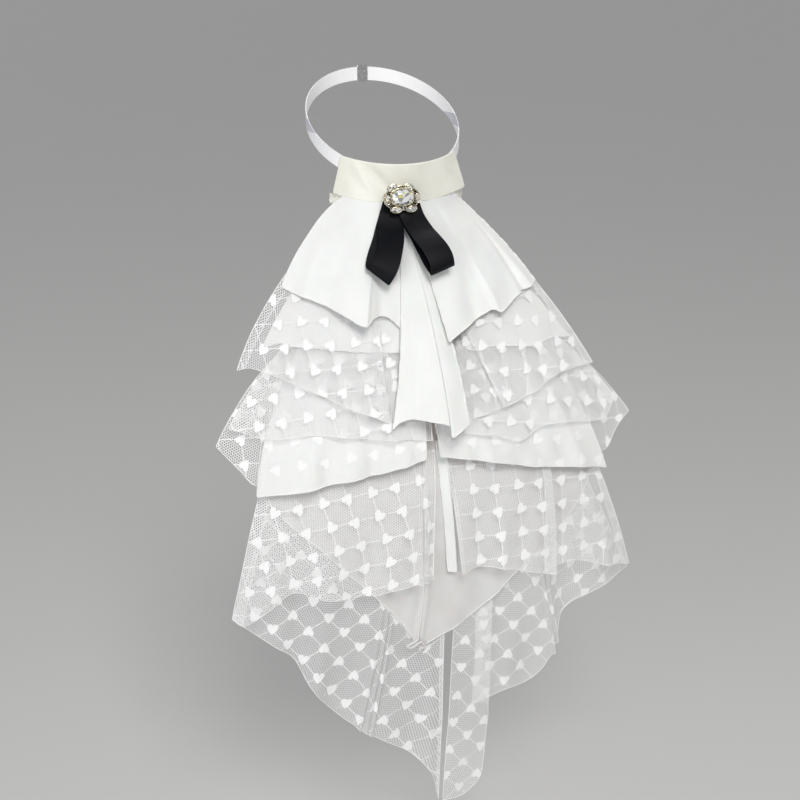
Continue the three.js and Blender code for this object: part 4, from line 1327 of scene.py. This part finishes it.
def cut_stone(stone):
    """Table, star, kite and girdle facets over a tapered foot."""
    depth, sides = stone[5], stone[7]
    low = BROOCH["plate"]
    centre = np.array(stone[:2])
    rings = []
    for name, (share, height) in STONE_RINGS.items():
        count = sides if name in ("table", "crown") else 2 * sides
        outline = stone_outline(stone, 0, count, 0.5 if name == "crown" else 0.0)
        rings.append(at_depth(centre + (outline - centre) * share, low + depth * height))
    vertices = np.concatenate([*rings, [[*centre, low + depth]]])
    table, crown, girdle, foot, middle = 0, sides, 2 * sides, 4 * sides, 6 * sides
    faces = [[middle, table + i, table + (i + 1) % sides] for i in range(sides)]
    faces.append(list(range(foot, middle))[::-1])
    for i in range(sides):
        after = (i + 1) % sides
        before = (i - 1) % sides
        g0, g1, g2 = girdle + 2 * i, girdle + 2 * i + 1, girdle + (2 * i + 2) % (2 * sides)
        faces.append([table + i, crown + i, table + after])
        faces.append([table + i, crown + before, g0, crown + i])
        faces.append([crown + i, g0, g1])
        faces.append([crown + i, g1, g2])
    return vertices, faces + bridge(girdle, foot, 2 * sides, flip=True)


def joined(name, parts):
    """One piece of the brooch from many parts."""
    vertices, faces = merged(parts)
    return make_object(name, on_brooch(vertices), faces, smooth=False)


def side_stones():
    return [stone for name, row in STONES.items() if name != "centre_stone" for stone in row]


def scalloped_outline():
    """The outline of the brooch: as far out as its ground plate or any side stone reaches."""
    heading = circle(ROUND["outline"])
    shapes = [(0, 0, 2 * BROOCH["half_width"], 2 * BROOCH["half_height"], 0)]
    shapes += [stone[:5] for stone in side_stones()]
    reach = np.zeros(len(heading))
    for x, y, width, height, turn in shapes:
        lip = 0 if x == y == 0 else BROOCH["lip"]
        t = turn * DEG
        spin = np.array([[math.cos(t), -math.sin(t)], [math.sin(t), math.cos(t)]])
        size = np.array([width / 2 + lip, height / 2 + lip])
        origin = (np.array([-x, -y]) @ spin) / size
        ray = (heading @ spin) / size
        a = (ray * ray).sum(1)
        b = ray @ origin
        inside = b * b - a * (origin @ origin - 1)
        far = (-b + np.sqrt(np.maximum(inside, 0))) / a
        reach = np.maximum(reach, np.where(inside > 0, far, 0))
    return heading * reach[:, None], reach


def closed_cord(outline, depth, radius):
    path = at_depth(np.concatenate([outline, outline[:1]]), depth)
    return tube(path, radius, sides=ROUND["cord"])


def bar(angle, inner, outer):
    """A thin divider from the bezel to the rim."""
    heading = np.array([math.cos(angle), math.sin(angle)])
    aside = np.array([-heading[1], heading[0]]) * BROOCH["bar"] / 2
    corners = np.array([heading * inner - aside, heading * outer - aside,
                        heading * outer + aside, heading * inner + aside])
    low = BROOCH["plate"] - BROOCH["sink"]
    return slab(corners, low, BROOCH["bar_top"], BROOCH["bar_bevel"])


def cup(stone, wall, high, count):
    """The wall of metal round a stone, from the plate up."""
    return ring_solid(stone_outline(stone, BROOCH[wall], count),
                      stone_outline(stone, BROOCH["fit"], count), BROOCH["plate"], high)


def setting_parts(outline, reach):
    """Rim, bezel with its beads, cups, bars, prongs and pin post of the setting."""
    plate, top, sink = BROOCH["plate"], BROOCH["bezel_top"], BROOCH["sink"]
    centre = STONES["centre_stone"][0]
    parts = [closed_cord(outline, plate, BROOCH["rim"]),
             cup(centre, "bezel", top, ROUND["bezel"])]
    for x, y in stone_outline(centre, BROOCH["bezel"] * BROOCH["seat"], BROOCH["beads"]):
        parts.append(bead(np.array([x, y, top]), BROOCH["bead"]))
    foot = stone_outline(centre, BROOCH["bezel"] + sink, ROUND["bezel"])
    parts.append(closed_cord(foot, plate + sink, BROOCH["bezel_cord"]))
    for stone in side_stones():
        parts.append(cup(stone, "cup", BROOCH["cup_top"], ROUND["cup"]))
        lip = stone_outline(stone, BROOCH["cup"] * BROOCH["seat"], ROUND["cup"])
        parts.append(closed_cord(lip, BROOCH["cup_top"], BROOCH["cup_cord"]))
    for degrees in BARS:
        angle = degrees * DEG
        wide, tall = BROOCH["bar_start"]
        inner = 1 / math.hypot(math.cos(angle) / wide, math.sin(angle) / tall)
        outer = reach[round(degrees * len(reach) / 360) % len(reach)]
        parts.append(bar(angle, inner, outer - sink))
    for x, y in stone_outline(centre, BROOCH["prong_out"], 4, 0.5):
        inward = 1 - BROOCH["prong_reach"] / math.hypot(x, y)
        path = np.array([[x, y, top - 1], [x, y, top + BROOCH["prong_up"]],
                         [x * inward, y * inward, top + BROOCH["prong_top"]]])
        path = resample(path, BROOCH["prong_step"])
        parts.append(tube(path, BROOCH["prong"], sides=ROUND["cord"]))
    post = [0, BROOCH["post_up"]] + BROOCH["post_radius"] * circle(ROUND["post"])
    parts.append(slab(post[::-1], sink, sink - BROOCH["post"], 0.0))
    return parts


def make_brooch():
    outline, reach = scalloped_outline()
    ground = slab(outline, 0, BROOCH["plate"], BROOCH["bevel"])
    dress(joined("brooch_ground", [ground]), "recess")
    setting = dress(joined("brooch_setting_metal", setting_parts(outline, reach)),
                    "metal")
    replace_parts(setting, "brooch_setting")
    for name, row in STONES.items():
        piece = joined(name + "_cut", [cut_stone(stone) for stone in row])
        paint_facets(piece, TABLE_PAINTED_LIGHTS if name == "centre_stone" else ())
        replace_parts(piece, name)
    extra = joined("baguette_stones", [cut_stone(stone) for stone in BAGUETTES])
    paint_facets(extra, ())


def paint_facets(piece, first):
    """Facets of a foil-backed crystal painted with light and shade instead of reflecting it: some
    painted bright flashes, some painted grey shade and a few painted dark shade or yellow glints.
    """
    painted_flash_crystal, *others = CRYSTAL_PAINTED_LIGHTS
    dress(piece, painted_flash_crystal)
    for name in others:
        piece.data.materials.append(MATERIALS[name])
    shares = [share for _, _, share in CRYSTAL_PAINTED_LIGHTS.values()]
    # Each facet gets a painted flash, painted shade or painted glint at random, by the shares
    # above.
    tints = RNG.choice(len(CRYSTAL_PAINTED_LIGHTS), size=len(piece.data.polygons), p=shares)
    tints[:len(first)] = first
    piece.data.polygons.foreach_set("material_index", tints.astype(np.int32))


def paint_node(name, material):
    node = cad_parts[name]
    node.data.materials.clear()
    node.data.materials.append(MATERIALS[material])


def make_floor():
    low = CAD_BOX[0].z - FLOOR["drop"]
    reach = FLOOR["reach"]
    mesh = bpy.data.meshes.new("floor")
    corners = [(x * reach, y * reach, low) for x, y in ((-1, -1), (1, -1), (1, 1), (-1, 1))]
    mesh.from_pydata(corners, [], [(0, 1, 2, 3)])
    floor = add_object("floor", mesh)
    paler = tuple(x * FLOOR["paler"] for x in FLOOR["tint"])
    floor.data.materials.append(grained_material("studio_floor", (FLOOR["tint"], paler),
                                                 scale=6.0, detail=3.0, Roughness=0.9))


for tier_name, tier_row in TIERS.items():
    make_tier(tier_name, tier_row)
make_panel()
make_neck()
make_ribbons()
make_brooch()
paint_node("strap_clasp", "clasp")
make_seam_tabs()
make_floor()


def declare_sheets():
    """Works out each cloth's greatest length along the cloth, no less than the least flat side, and
    keeps nothing.
    """
    for piece, points, extra in SHEETS.values():
        length = np.linalg.norm(np.diff(points, axis=0), axis=2).sum(0).max()
        length = max(length, LEAST_FLAT)


declare_sheets()
